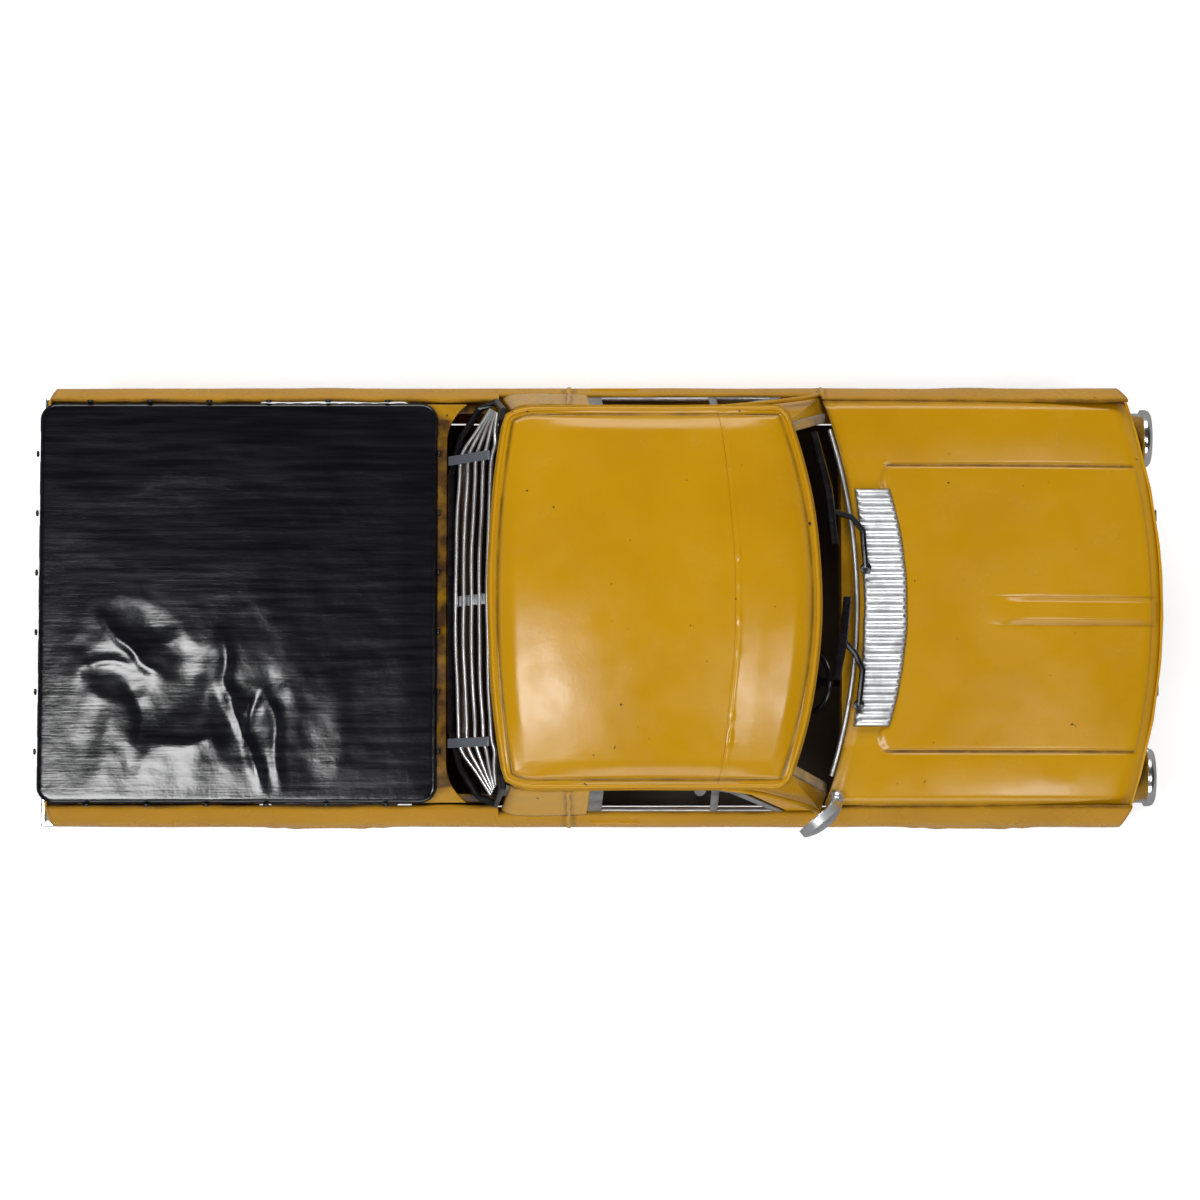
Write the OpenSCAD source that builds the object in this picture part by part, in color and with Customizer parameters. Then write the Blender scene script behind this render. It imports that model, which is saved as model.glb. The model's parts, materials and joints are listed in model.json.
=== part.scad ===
// Sheet-metal coupe utility with a friction drive.
// +X is forward, +Y the car's left, +Z up. The origin is on the ground, midway along and across.

/* [Overall] */
// Length over the bumper guards
car_len = 326; // [310:1:400]
// Width over the side panels at their widest
car_w = 125; // [118:1:150]
// Height of the roof crown above the ground
roof_h = 91.5; // [88:0.5:110]
// Thickness of the body sheet
sheet = 0.8; // [0.6:0.1:1]

/* [Body heights] */
// Underside of the side panels
sill_h = 15; // [13:0.5:17]
// Top edge of the side panels, where the hood and the deck lie
shoulder_h = 62; // [60:0.5:70]
// Foot of the side windows
belt_h = 58; // [56:0.5:59]
// How far the hood stands above the shoulder at the windscreen
cowl_rise = 2.2; // [1.6:0.1:4]
// Height of the roof crown above the drip rail
roof_crown = 7.5; // [6:0.1:9]

/* [Body plan] */
// Length of the hood from the windscreen to the nose
hood_len = 87; // [80:1:110]
// Length of the cab from the foot of the rear window to the windscreen
cab_len = 115.8; // [112:1:126]
// Plan radius of the nose
nose_r = 176; // [150:1:240]
// Plan radius of the foot of the windscreen
screen_r = 167; // [150:1:240]
// How far the shoulder lies inside the widest point
shoulder_in = 5; // [4:0.1:7]
// How far the roof edge lies inside the widest point
roof_in = 10; // [9:0.1:14]
// How far the pressed hood panel and the cowl vent sit right of the centre line
press_off = 1.6; // [0:0.1:2]

/* [Tonneau cover] */
// Height of the cover over the shoulder
cover_h = 3; // [2.4:0.1:5]
// Corner radius of the cover
cover_r = 5; // [3:0.5:9]
// How far the cover reaches behind the tail
cover_over = 2.2; // [1:0.1:3]
// Distance between the studs along the sides
stud_pitch = 16.9; // [12:0.1:24]

/* [Wheels] */
// Outer radius of the tyres
tyre_r = 19.5; // [18:0.5:21]
// Width of the tyres
tyre_w = 11; // [9:0.5:13]
// Radius of the rims where the tyres sit
rim_r = 13; // [11:0.5:15]
// Distance between the middles of the left and right tyres
track = 104; // [98:1:110]
// Distance from the guard tips back to the front axle
front_over = 57; // [54:1:62]
// Distance from the rear bumper forward to the rear axle
rear_over = 85; // [80:1:90]
// Radius of the axles
axle_r = 1.5; // [1.2:0.1:2]
// Gap between a tyre and its wheel arch
arch_gap = 4; // [3:0.5:5]

/* [Friction motor] */
// Tooth size of the gears
gear_mod = 0.6; // [0.5:0.05:0.65]
// Teeth of the gear on the rear axle
axle_teeth = 30; // [26:1:32]
// Teeth of the gear on the idler shaft
idler_teeth = 28; // [24:1:30]
// Teeth of both pinions
pinion_teeth = 12; // [12:1:14]
// Face width of the gears
gear_w = 3; // [2:0.5:4]
// Radius of the flywheel
flywheel_r = 10.5; // [9:0.5:11]
// Width of the flywheel
flywheel_w = 6; // [4:0.5:7]
// Radius of the idler and flywheel shafts
shaft_r = 1; // [0.8:0.1:1.3]

/* [Fits] */
// Radial clearance of a shaft in its bearing
running = 0.06; // [0.03:0.01:0.1]
// Gap between neighbouring sheets
fit = 0.1; // [0.05:0.05:0.2]

/* [Hidden] */

paint = "goldenrod";
silver = "silver";
black = [0.08, 0.08, 0.1];
$fn = 64;

// Heights
gutter_h = roof_h - roof_crown;
hood_h = shoulder_h + cowl_rise;
base_top = sill_h;
flange_w = 7;
bumper_low = sill_h + 5;
bumper_high = bumper_low + 8;
light_h = 44;

// Places along the car
guard_reach = 2.5;
front_x = car_len / 2;
nose_x = front_x - guard_reach;
screen_x = nose_x - hood_len;
glass_x = screen_x - cab_len;
tail_x = -front_x + 6;
bulkhead_x = glass_x - 3.5;
nose_c = nose_x - nose_r;
screen_c = screen_x - screen_r;
front_axle_x = front_x - front_over;
rear_axle_x = -front_x + rear_over;

// Places across the car
half_w = car_w / 2;
shoulder_y = half_w - shoulder_in;
belt_y = half_w - 3.3;
roof_y = half_w - roof_in;
sill_y = half_w - 6;
deck_y = shoulder_y - sheet - fit;
wheel_in_y = track / 2 - tyre_w / 2;

// Cab side plane: it leans inwards from the belt to the drip rail
cab_rise = gutter_h - belt_h;
cab_lean = atan((belt_y - roof_y) / cab_rise);
cab_slant = norm([cab_rise, belt_y - roof_y]);
post_x = screen_x - 77.3;
divider_x = screen_x - 42.5;
vent_tip_x = screen_x - 21.5;
quarter_x = glass_x + 14.5;
seam_x = screen_x - 82.4;

// Motor shafts, as [x, z]
axle_at = [rear_axle_x, tyre_r];
idler_dir = 62;
idler_gap = gear_mod * (axle_teeth + pinion_teeth) / 2 + fit;
idler_at = axle_at + idler_gap * [cos(idler_dir), sin(idler_dir)];
flywheel_dir = 4;
flywheel_gap = gear_mod * (idler_teeth + pinion_teeth) / 2 + fit;
flywheel_at = idler_at + flywheel_gap * [cos(flywheel_dir), sin(flywheel_dir)];
plate_y = 10;
plate_t = 1;

// Hood height at a place along the car
hood_fall = 6.4;
function hood_z(x) = hood_h - hood_fall * pow(max(0, (x - screen_x) / hood_len), 2.6);
// How far an arc of the given radius has dropped back at y
function sag(r, y) = r - sqrt(r * r - y * y);
function unit(v) = v / norm(v);

// Extrude a (y, z) outline along the car, and an (x, z) outline across it
module along_x(x0, x1) translate([x0, 0, 0]) rotate([90, 0, 90]) linear_extrude(x1 - x0) children();
module along_y(y0, y1) translate([0, y1, 0]) rotate([90, 0, 0]) linear_extrude(y1 - y0) children();
// Repeat for both sides of the car
module both() {
    children();
    mirror([0, 1, 0]) children();
}
module box(lo, hi) translate(lo) cube(hi - lo);
// A cylinder across the car
module bar_y(x, z, r, y0, y1) translate([x, y0, z]) rotate([-90, 0, 0]) cylinder(r = r, h = y1 - y0);
// A cylinder along the car
module bar_x(y, z, r, x0, x1) translate([x0, y, z]) rotate([0, 90, 0]) cylinder(r = r, h = x1 - x0);
module rounded(lo, hi, r) {
    translate([lo[0] + r, lo[1]]) square([hi[0] - lo[0] - 2 * r, hi[1] - lo[1]]);
    translate([lo[0], lo[1] + r]) square([hi[0] - lo[0], hi[1] - lo[1] - 2 * r]);
    for (x = [lo[0] + r, hi[0] - r], y = [lo[1] + r, hi[1] - r]) translate([x, y]) circle(r);
}
// Place an upright (x, z) outline on the leaning cab side, z counted from the belt
module on_cab_side() translate([0, belt_y, belt_h]) rotate([cab_lean, 0, 0]) children();

// A round wire swept along points; ref is a direction the path never follows
function tangent(p, i) = unit(p[min(i + 1, len(p) - 1)] - p[max(i - 1, 0)]);
function ring(c, t, ref, r, sides) = let (a = unit(cross(t, ref)), b = cross(t, a))
    [for (k = [0:sides - 1]) c + r * (cos(360 * k / sides) * a + sin(360 * k / sides) * b)];
module wire(p, r, ref, sides = 8) {
    n = len(p);
    rings = [for (i = [0:n - 1]) ring(p[i], tangent(p, i), ref, r, sides)];
    walls = [for (i = [0:n - 2], k = [0:sides - 1]) let (a = i * sides + k, b = i * sides + (k + 1) % sides)
        [a, b, b + sides, a + sides]];
    tris = [for (w = walls, s = [0, 1]) s == 0 ? [w[0], w[2], w[1]] : [w[0], w[3], w[2]]];
    ends = [[for (k = [0:sides - 1]) k], [for (k = [sides - 1:-1:0]) (n - 1) * sides + k]];
    polyhedron(points = [for (g = rings, q = g) q], faces = concat(tris, ends));
}
function mirrored(p) = concat([for (i = [len(p) - 1:-1:0]) [p[i][0], -p[i][1], p[i][2]]], p);

// Outline of one side panel in (y, z): out along the outside, back along the inside, flange at the sill
side_out = [[sill_y, sill_h], [half_w - 2.5, sill_h + 7], [half_w - 0.7, 36], [half_w, 47],
    [half_w - 0.9, shoulder_h - 10], [shoulder_y, shoulder_h]];
side_in = [for (i = [len(side_out) - 1:-1:1]) side_out[i] - [sheet, 0]];
flange = [[sill_y - sheet / 2, sill_h + sheet], [sill_y - flange_w, sill_h + sheet],
    [sill_y - flange_w, sill_h]];
// Body section across the car, for the sheets that close its ends
section = concat(side_out, [for (i = [len(side_out) - 1:-1:0]) [-side_out[i][0], side_out[i][1]]]);

module nose_disc(inset, z0, z1) translate([nose_c, 0, z0])
    cylinder(r = nose_r - inset, h = z1 - z0, $fn = 180);
module screen_disc(inset, z0, z1) translate([screen_c, 0, z0])
    cylinder(r = screen_r - inset, h = z1 - z0, $fn = 180);
module arches() for (x = [front_axle_x, rear_axle_x])
    bar_y(x, tyre_r, tyre_r + arch_gap, -half_w - 5, half_w + 5);
module hood_band(z_up, z_down) along_y(-shoulder_y, shoulder_y) {
    steps = 24;
    xs = [for (i = [0:steps]) screen_x - 12 + (hood_len + 12) * i / steps];
    polygon(concat([for (x = xs) [x, hood_z(x) + z_up]],
        [for (i = [steps:-1:0]) [xs[i], hood_z(xs[i]) + z_down]]));
}

// ---- Body sheets ----

// Pressed centre panel of the hood, with its blister
panel_half = 40.6;
press_h = 0.7;
module hood_panel() color(paint) {
    difference() {
        union() {
            hood_band(0, -sheet);
            intersection() {
                hood_band(press_h, -sheet / 2);
                translate([0, -press_off - panel_half, 0]) cube([front_x, 2 * panel_half, roof_h]);
                difference() {
                    nose_disc(5, 0, roof_h);
                    translate([screen_c + 4, 0, 0]) cylinder(r = screen_r + 1, h = roof_h, $fn = 180);
                }
            }
            intersection() {
                hood_band(press_h + 0.9, -sheet / 2);
                box([screen_x + 36, -press_off - 3.4, 0], [nose_x - 2.5, -press_off + 3.4, roof_h]);
            }
            both() intersection() {
                hood_band(-sheet / 2, -4.4);
                box([screen_x - 12, deck_y - sheet, 0],
                    [nose_x - sag(nose_r, deck_y) - 2 * sheet, deck_y, roof_h]);
            }
        }
        screen_disc(0, 0, roof_h);
        difference() {
            box([0, -half_w, 0], [front_x + 20, half_w, roof_h]);
            nose_disc(0, -1, roof_h + 1);
        }
    }
}

// Corrugated vent on the cowl, ribs along the car
vent_ribs = 29;
vent_half = 33.7;
vent_t = 0.5;
rib_h = 0.8;
module cowl_vent() color(silver) {
    pitch = 2 * vent_half / vent_ribs;
    lift = hood_h + press_h + fit / 2;
    tops = [for (i = [0:vent_ribs - 1], k = [0:5])
        [vent_half - pitch * (i + k / 6), lift + vent_t + rib_h * abs(sin(180 * k / 6))]];
    intersection() {
        translate([0, -press_off, 0]) along_x(screen_x - 4, screen_x + 14)
            polygon(concat([[vent_half, lift]], tops, [[-vent_half, lift + vent_t], [-vent_half, lift]]));
        translate([screen_x + 1.1 - 196, 0, 0]) difference() {
            cylinder(r = 207.6, h = roof_h, $fn = 180);
            cylinder(r = 196, h = roof_h, $fn = 180);
        }
    }
}

// Nose sheet between the hood and the base plate, with the lamp holes and the grille mouth
lamp_y = shoulder_y - 8.6;
lamp_r = 7.6;
grille_half = 36;
grille_low = bumper_high + 3;
grille_high = 53;
nose_top = hood_z(nose_x) - sheet;
nose_side = concat([[sill_y - sheet - fit, sill_h + sheet + fit]],
    [for (p = side_out) if (p[1] > sill_h && p[1] < nose_top) p - [sheet + fit, 0]],
    [[shoulder_y - fit, nose_top]]);
module nose_panel() color(paint) difference() {
    intersection() {
        nose_disc(0, sill_h, nose_top + 1);
        along_x(screen_x, front_x) polygon(concat(nose_side,
            [for (i = [len(nose_side) - 1:-1:0]) [-nose_side[i][0], nose_side[i][1]]]));
    }
    nose_disc(sheet, sill_h - 1, nose_top + 2);
    both() bar_x(lamp_y, light_h, lamp_r, screen_x, front_x + 1);
    box([screen_x, -grille_half, grille_low], [front_x + 1, grille_half, grille_high]);
}

module side_panel() difference() {
    along_x(tail_x + sheet, nose_x) polygon(concat(side_out, side_in, flange));
    arches();
    box([quarter_x - 1.5, 0, belt_h], [screen_x - sag(screen_r, shoulder_y), half_w + 1, roof_h]);
    difference() {
        box([front_x - 40, 0, 0], [front_x + 1, half_w + 1, roof_h]);
        nose_disc(0, -1, roof_h + 1);
    }
    hood_band(roof_h, -sheet - fit / 2);
    rivet_holes();
}
module side_panel_left() color(paint) side_panel();
module side_panel_right() color(paint) mirror([0, 1, 0]) side_panel();

module rear_panel() color(paint) difference() {
    along_x(tail_x, tail_x + sheet) polygon(section);
    both() bar_x(lamp_y, light_h, 4.6, tail_x - 1, tail_x + 2);
}
module tailgate() color(paint)
    along_x(tail_x - 0.7, tail_x) rounded([-lamp_y + 8, bumper_high + 2], [lamp_y - 8, shoulder_h - 2], 3);

// Plate round the bed and behind the cab; the rear window stands on its edge
bed_x0 = tail_x + 7;
bed_x1 = bulkhead_x - 5;
bed_half = shoulder_y - 7.5;
cab_corner = 14;
module deck_panel() color(paint) translate([0, 0, shoulder_h - sheet]) linear_extrude(sheet) difference() {
    translate([tail_x + sheet, -deck_y]) square([quarter_x - 1.5 - tail_x - sheet, 2 * deck_y]);
    rounded([bed_x0, -bed_half], [bed_x1, bed_half], 4);
    rounded([glass_x - 1.2, -belt_y], [screen_x + 20, belt_y], cab_corner);
}

floor_h = 2 * tyre_r + 6;
module bed_floor() color(paint) box([tail_x + sheet, -deck_y, floor_h - sheet],
    [bulkhead_x - fit, deck_y, floor_h]);
module cab_bulkhead() color(paint) difference() {
    box([bulkhead_x, -deck_y + 3, base_top], [bulkhead_x + sheet, deck_y - 3, shoulder_h - sheet]);
    box([bulkhead_x - 1, -plate_y - 6, base_top - 1], [bulkhead_x + sheet + 1, plate_y + 6, base_top + 9]);
}
module firewall() color(paint) box([screen_x + 6, -deck_y + 3, base_top],
    [screen_x + 6 + sheet, deck_y - 3, shoulder_h - 2]);

// ---- Cab ----

// Plan of the roof, drawn in by d: bowed front and rear edges with round corners
roof_x0 = glass_x + 12.1;
roof_x1 = screen_x - 12.9;
module roof_plan(d) intersection() {
    rounded([roof_x0 - 1 + d, -roof_y + d], [roof_x1 + 1 - d, roof_y - d], 13 - d);
    translate([roof_x1 - 150, 0]) circle(150 - d, $fn = 180);
    translate([roof_x0 + 290, 0]) circle(290 - d, $fn = 240);
}
module roof_dome(d) translate([(roof_x0 + roof_x1) / 2, 0, roof_h - 285]) sphere(285 - d, $fn = 360);
visor_x = screen_x - 35.6;
module visor_disc(r) translate([visor_x - 290, 0, 0]) cylinder(r = r, h = roof_h + 1, $fn = 240);
module roof_shell() difference() {
    intersection() {
        translate([0, 0, gutter_h]) linear_extrude(roof_crown + 1) roof_plan(0);
        roof_dome(0);
    }
    intersection() {
        translate([0, 0, gutter_h - 1]) linear_extrude(roof_crown + 2) roof_plan(sheet);
        roof_dome(sheet);
    }
}
module roof_panel() color(paint) intersection() {
    roof_shell();
    visor_disc(290);
}
module roof_visor() color(paint) difference() {
    roof_shell();
    visor_disc(290);
}

// Drip rail: a rim round the roof and a leg down each windscreen pillar
rail_out = 1.3;
leg_path = [for (p = [[-40, 0.7, 0], [-30, 1.1, -3.5], [-21, 1.1, -10.5], [-14, 1.1, -18], [-11.5, 1.1, -23]])
    [screen_x + p[0], roof_y - (belt_y - roof_y) * p[2] / cab_rise + p[1], gutter_h - 1.4 + p[2]]];
module drip_rail() color(paint) {
    translate([0, 0, gutter_h - 1.2]) linear_extrude(1.2) difference() {
        roof_plan(-rail_out);
        roof_plan(fit / 2);
    }
    both() wire(leg_path, 0.7, [0, 1, 0]);
}

module a_pillar() difference() {
    hull() {
        translate([0, 0, gutter_h - 1.3 - fit]) linear_extrude(0.1)
            polygon([[screen_x - 38, roof_y - 0.4], [screen_x - 27, roof_y - 0.9],
                [screen_x - 21.5, roof_y - 3.7], [screen_x - 29, roof_y - 3.7]]);
        translate([0, 0, belt_h]) linear_extrude(0.1)
            polygon([[screen_x - 20.5, belt_y - 0.4], [screen_x - 11, belt_y - 0.4],
                [screen_x - 9.3, shoulder_y - 3.6], [screen_x - 14, shoulder_y - 3.6]]);
    }
    difference() {
        box([screen_x - 30, 0, shoulder_h - 6], [screen_x, half_w, hood_h + 2]);
        screen_disc(fit, 0, roof_h);
    }
}
module a_pillar_left() color(paint) a_pillar();
module a_pillar_right() color(paint) mirror([0, 1, 0]) a_pillar();

// Rear quarter: the sheet between the rear window and the side window
module quarter() intersection() {
    on_cab_side() along_y(-sheet, 0)
        polygon([[quarter_x, 0], [post_x - fit, 0], [post_x + 1 - fit, cab_slant - 1.6],
            [quarter_x + 3.4, cab_slant - 1.6]]);
    box([glass_x, 0, belt_h], [screen_x, half_w, gutter_h - 1.3]);
}
module quarter_panel_left() color(paint) quarter();
module quarter_panel_right() color(paint) mirror([0, 1, 0]) quarter();

// Bright frame of a side window: rear post, sill, divider and the vent window's triangle
frame_w = 1.4;
vent_top = 0.84 * cab_slant;
module window_frame() intersection() {
    on_cab_side() along_y(-1, 0) difference() {
        polygon([[post_x, 0], [vent_tip_x, 0], [divider_x + 6, vent_top], [divider_x - 4, cab_slant - 2],
            [post_x + 1, cab_slant - 2]]);
        polygon([[post_x + 4.2, frame_w], [divider_x, frame_w], [divider_x, cab_slant - 2 - frame_w],
            [post_x + 4.9, cab_slant - 2 - frame_w]]);
        polygon([[divider_x + 2.2, frame_w], [vent_tip_x - 3.4, frame_w], [divider_x + 5, vent_top - 3],
            [divider_x + 2.2, vent_top - 1.5]]);
    }
    box([glass_x, 0, belt_h], [screen_x, half_w, gutter_h - 1.3]);
}
module window_frame_left() color(silver) window_frame();
module window_frame_right() color(silver) mirror([0, 1, 0]) window_frame();

// Flat bright strips up both edges of the windscreen
module windscreen_trim() color(silver) both() hull() {
    translate([screen_x - sag(screen_r, shoulder_y - 5) - 2, shoulder_y - 6.4, hood_h - 0.6])
        cube([0.8, 2.6, 0.8]);
    translate([screen_x - 21.6, roof_y - 6.6, gutter_h - 2]) cube([0.8, 2.6, 0.6]);
}
wire_r = 0.75;
module windscreen_sill_wire() color(silver) translate([screen_c, 0, hood_h - 0.3])
    rotate([0, 0, -17.2]) rotate_extrude(angle = 34.4, $fn = 180)
        translate([screen_r - wire_r - fit / 2, 0]) circle(wire_r, $fn = 24);

// Rear window: a black frame, five bright louvre wires, two flat straps and a centre clip
tube_r = 1;
frame_path = mirrored([[glass_x, 6, shoulder_h + tube_r], [glass_x + 0.2, 36, shoulder_h + tube_r],
    [glass_x + 3, 47, shoulder_h + tube_r], [glass_x + 8, shoulder_y - 2.6, shoulder_h + tube_r],
    [quarter_x - 1.6, shoulder_y - 0.4, shoulder_h + 2], [quarter_x - 0.6, shoulder_y - 2.4, shoulder_h + 8],
    [quarter_x + 0.8, roof_y, gutter_h - 4.5], [quarter_x + 0.4, roof_y - 3, gutter_h - 2.6],
    [roof_x0 + 3, roof_y - 12, gutter_h - 2.4], [roof_x0 + 0.4, 20, gutter_h - 2.4],
    [roof_x0, 4, gutter_h - 2.4]]);
module rear_window_frame() color(black) {
    wire(frame_path, tube_r, [1, 0, 0]);
    bar_y(roof_x0, gutter_h - 2.4, tube_r, -4.5, 4.5);
}
louvres = 5;
louvre_r = 0.55;
strap_y = 41;
// A place on the sloping rear window, t from 0 at its foot to 1 at the roof
function glass_at(t, y) = [glass_x + 11.6 * t + 1.4 * pow(y / strap_y, 2), y,
    shoulder_h + 3 + (gutter_h - shoulder_h - 6.5) * t];
module rear_window_louvre() color(silver) {
    for (i = [0:louvres - 1]) {
        t = (i + 0.7) / louvres;
        foot = [quarter_x - 3.2 + 2.2 * t, shoulder_y - 2.6 - 3 * t, shoulder_h + 4 + (cab_rise - 10) * t];
        wire(mirrored([glass_at(t, 6), glass_at(t, 24), glass_at(t, strap_y), foot]), louvre_r, [1, 0, 0]);
    }
    hull() {
        translate(glass_at(0.06, 0) + [0.8, -1.6, -0.4]) cube([0.6, 3.2, 0.5]);
        translate(glass_at(0.96, 0) + [0.8, -1.6, -0.4]) cube([0.6, 3.2, 0.5]);
    }
}
module rear_window_straps() color("slategray") both() hull() {
    translate(glass_at(0, strap_y - 1) + [-2, -1.3, -0.4]) cube([0.6, 2.6, 0.6]);
    translate(glass_at(1, strap_y - 1) + [-2, -1.3, -0.4]) cube([0.6, 2.6, 0.6]);
}

// ---- Tonneau cover ----
cover_x0 = tail_x - cover_over;
cover_x1 = bulkhead_x - 0.2;
cover_y = shoulder_y - 0.5;
module tonneau_cover() color(black) difference() {
    translate([0, 0, shoulder_h]) linear_extrude(cover_h)
        rounded([cover_x0, -cover_y], [cover_x1, cover_y], cover_r);
    translate([0, 0, shoulder_h - 1]) linear_extrude(cover_h + 1 - sheet)
        rounded([cover_x0 + sheet, -cover_y + sheet], [cover_x1 - sheet, cover_y - sheet], cover_r - sheet);
}
stud_r = 0.9;
stud_h = 0.7;
stud_z = shoulder_h + cover_h / 2;
side_studs = floor((cover_x1 - cover_x0 - 2 * cover_r - 4) / stud_pitch);
end_studs = floor((2 * cover_y - 2 * cover_r - 4) / stud_pitch);
module tonneau_studs() color(black) {
    for (i = [0:side_studs]) both()
        bar_y((cover_x0 + cover_x1) / 2 + stud_pitch * (i - side_studs / 2), stud_z, stud_r,
            cover_y, cover_y + stud_h);
    for (i = [0:end_studs]) {
        y = stud_pitch * (i - end_studs / 2);
        bar_x(y, stud_z, stud_r, cover_x0 - stud_h, cover_x0);
        bar_x(y, stud_z, stud_r, cover_x1, cover_x1 + stud_h);
    }
}

// ---- Side trim ----

// Standing seams at both ends of each door, from the sill over the belt to the drip rail
seam_t = 1.4;
seam_out = 1.5;
module body_seam(x) difference() {
    along_x(x - seam_t / 2, x + seam_t / 2) polygon(concat(
        [for (p = side_out) if (p[1] < belt_h) p + [seam_out, 0]], [[belt_y + seam_out, belt_h]],
        [[belt_y, belt_h]], [for (i = [4:-1:0]) side_out[i]]));
    box([x - 5, 0, belt_h - fit], [x + 5, half_w + 5, roof_h]);
}
module door_seams() color(paint) both() {
    body_seam(seam_x);
    body_seam(screen_x - 10);
    intersection() {
        on_cab_side() along_y(fit / 2, seam_out) polygon([[seam_x - seam_t / 2, 0], [seam_x + seam_t / 2, 0],
            [seam_x + seam_t / 2, cab_slant], [seam_x - seam_t / 2, cab_slant]]);
        box([seam_x - 5, 0, belt_h - fit], [seam_x + 5, half_w + 5, gutter_h - 1.3]);
    }
}
strip_z = 36;
handle_z = shoulder_h - 9.2;
module side_strips() color(silver) both() difference() {
    box([front_axle_x + tyre_r + arch_gap + 4, half_w - 0.7, strip_z - 0.8],
        [nose_x - sag(nose_r, half_w) - 2, half_w, strip_z + 0.8]);
    along_x(front_axle_x, nose_x) polygon(concat(side_out, side_in, flange));
}
module door_handles() color(paint) both() difference() {
    box([seam_x + 6, half_w - 1.6, handle_z - 0.8], [seam_x + 20, half_w - 0.1, handle_z + 0.8]);
    along_x(seam_x, seam_x + 30) polygon(concat(side_out, side_in, flange));
}

// ---- Base ----
rivet_r = 1;
rivet_y = sill_y - flange_w / 2 - 1;
rivet_xs = [front_axle_x + 36, front_axle_x - 36, screen_x - 44, rear_axle_x + 50, rear_axle_x - 36];
module rivet_holes() for (x = rivet_xs)
    translate([x, rivet_y, 0]) cylinder(r = rivet_r, h = sill_h + 5, $fn = 32);
module base_sheet(x0, x1) difference() {
    intersection() {
        box([x0, -sill_y, base_top - sheet], [x1, sill_y, base_top]);
        union() {
            nose_disc(0, 0, roof_h);
            box([tail_x, -half_w, 0], [nose_c, half_w, roof_h]);
        }
    }
    both() {
        for (x = [front_axle_x, rear_axle_x])
            box([x - tyre_r - 3, wheel_in_y - 2, 0], [x + tyre_r + 3, half_w, roof_h]);
        rivet_holes();
    }
}
base_joint_x = rear_axle_x + 40;
module front_base_plate() color("dimgray") base_sheet(base_joint_x, nose_x);
module rear_base_plate() color("dimgray") difference() {
    base_sheet(tail_x, base_joint_x);
    box([rear_axle_x - gear_mod * axle_teeth / 2 - 3, -gear_w / 2 - 1, 0],
        [rear_axle_x + gear_mod * axle_teeth / 2 + 3, gear_w / 2 + 1, roof_h]);
}
module base_rivets() color(silver) both() for (x = rivet_xs) translate([x, rivet_y, base_top - sheet]) {
    cylinder(r = rivet_r, h = 2 * sheet, $fn = 32);
    translate([0, 0, 2 * sheet]) cylinder(r = 1.7 * rivet_r, h = 0.8, $fn = 32);
}

// ---- Inside the cab ----
dash_x = screen_x - 5;
wheel_y = -22;
module dashboard() color(paint) {
    box([dash_x, -deck_y + 4, shoulder_h - 14], [dash_x + sheet, deck_y - 4, shoulder_h - 2]);
    box([dash_x, -deck_y + 4, shoulder_h - 2], [screen_x + 6 + sheet, deck_y - 4, shoulder_h - 2 + sheet]);
}
wheel_at = [dash_x - 8, wheel_y, shoulder_h - 7];
wheel_lean = -58;
module steering_column() color(black) difference() {
    translate(wheel_at) rotate([0, wheel_lean + 180, 0]) translate([0, 0, 1.2])
        cylinder(r = 1.2, h = 20, $fn = 32);
    box([dash_x, wheel_y - 9, 0], [front_x, wheel_y + 9, roof_h]);
}
module steering_wheel() color(black) translate(wheel_at) rotate([0, wheel_lean, 0]) {
    rotate_extrude() translate([8.5, 0]) circle(0.9, $fn = 24);
    cylinder(r = 2.4, h = 2.4, center = true, $fn = 32);
    for (a = [0, 120, 240]) rotate([0, 0, a]) translate([2, -0.7, -0.4]) cube([6, 1.4, 0.8]);
}
seat_x = bulkhead_x + 11;
seat_h = 34;
module bench_seat() color("saddlebrown") {
    box([seat_x, -44, base_top], [seat_x + 34, 44, seat_h]);
    hull() {
        box([seat_x, -44, seat_h - 1], [seat_x + 7, 44, seat_h]);
        box([seat_x - 5, -44, shoulder_h - 3], [seat_x, 44, shoulder_h - 2]);
    }
}

// ---- Wipers and mirror ----
vent_top_h = hood_h + press_h + fit / 2 + vent_t + rib_h;
function on_screen(p) = [screen_x + p[0], p[1], hood_h + p[2]];
module wiper(pivot, arm, blade) {
    translate([screen_x + pivot[0], pivot[1], vent_top_h + fit / 2]) cylinder(r = 1.3, h = 2, $fn = 32);
    foot = [screen_x + pivot[0], pivot[1], vent_top_h + 1.6];
    wire(concat([foot], [for (p = arm) on_screen(p)]), 0.6, [0, 0, 1]);
    wire([for (p = blade) on_screen(p)], 0.9, [0, 0, 1]);
}
module wipers() color(black) {
    wiper([1.5, 9.4], [[0.6, 20, 4.3], [-2.8, 23.5, 7.3], [-8.7, 24.7, 11.4]],
        [[-13.3, 47, 8.8], [-9.4, 31, 11.2], [-7.8, 15.7, 11.8]]);
    wiper([-0.7, -29.3], [[0.4, -19.4, 4.2], [-1.8, -14.8, 5.8], [-5.2, -11.5, 8]],
        [[-3.9, 0.7, 6.3], [-5.2, -11, 8.2], [-7.3, -22.3, 9.3]]);
}

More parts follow.
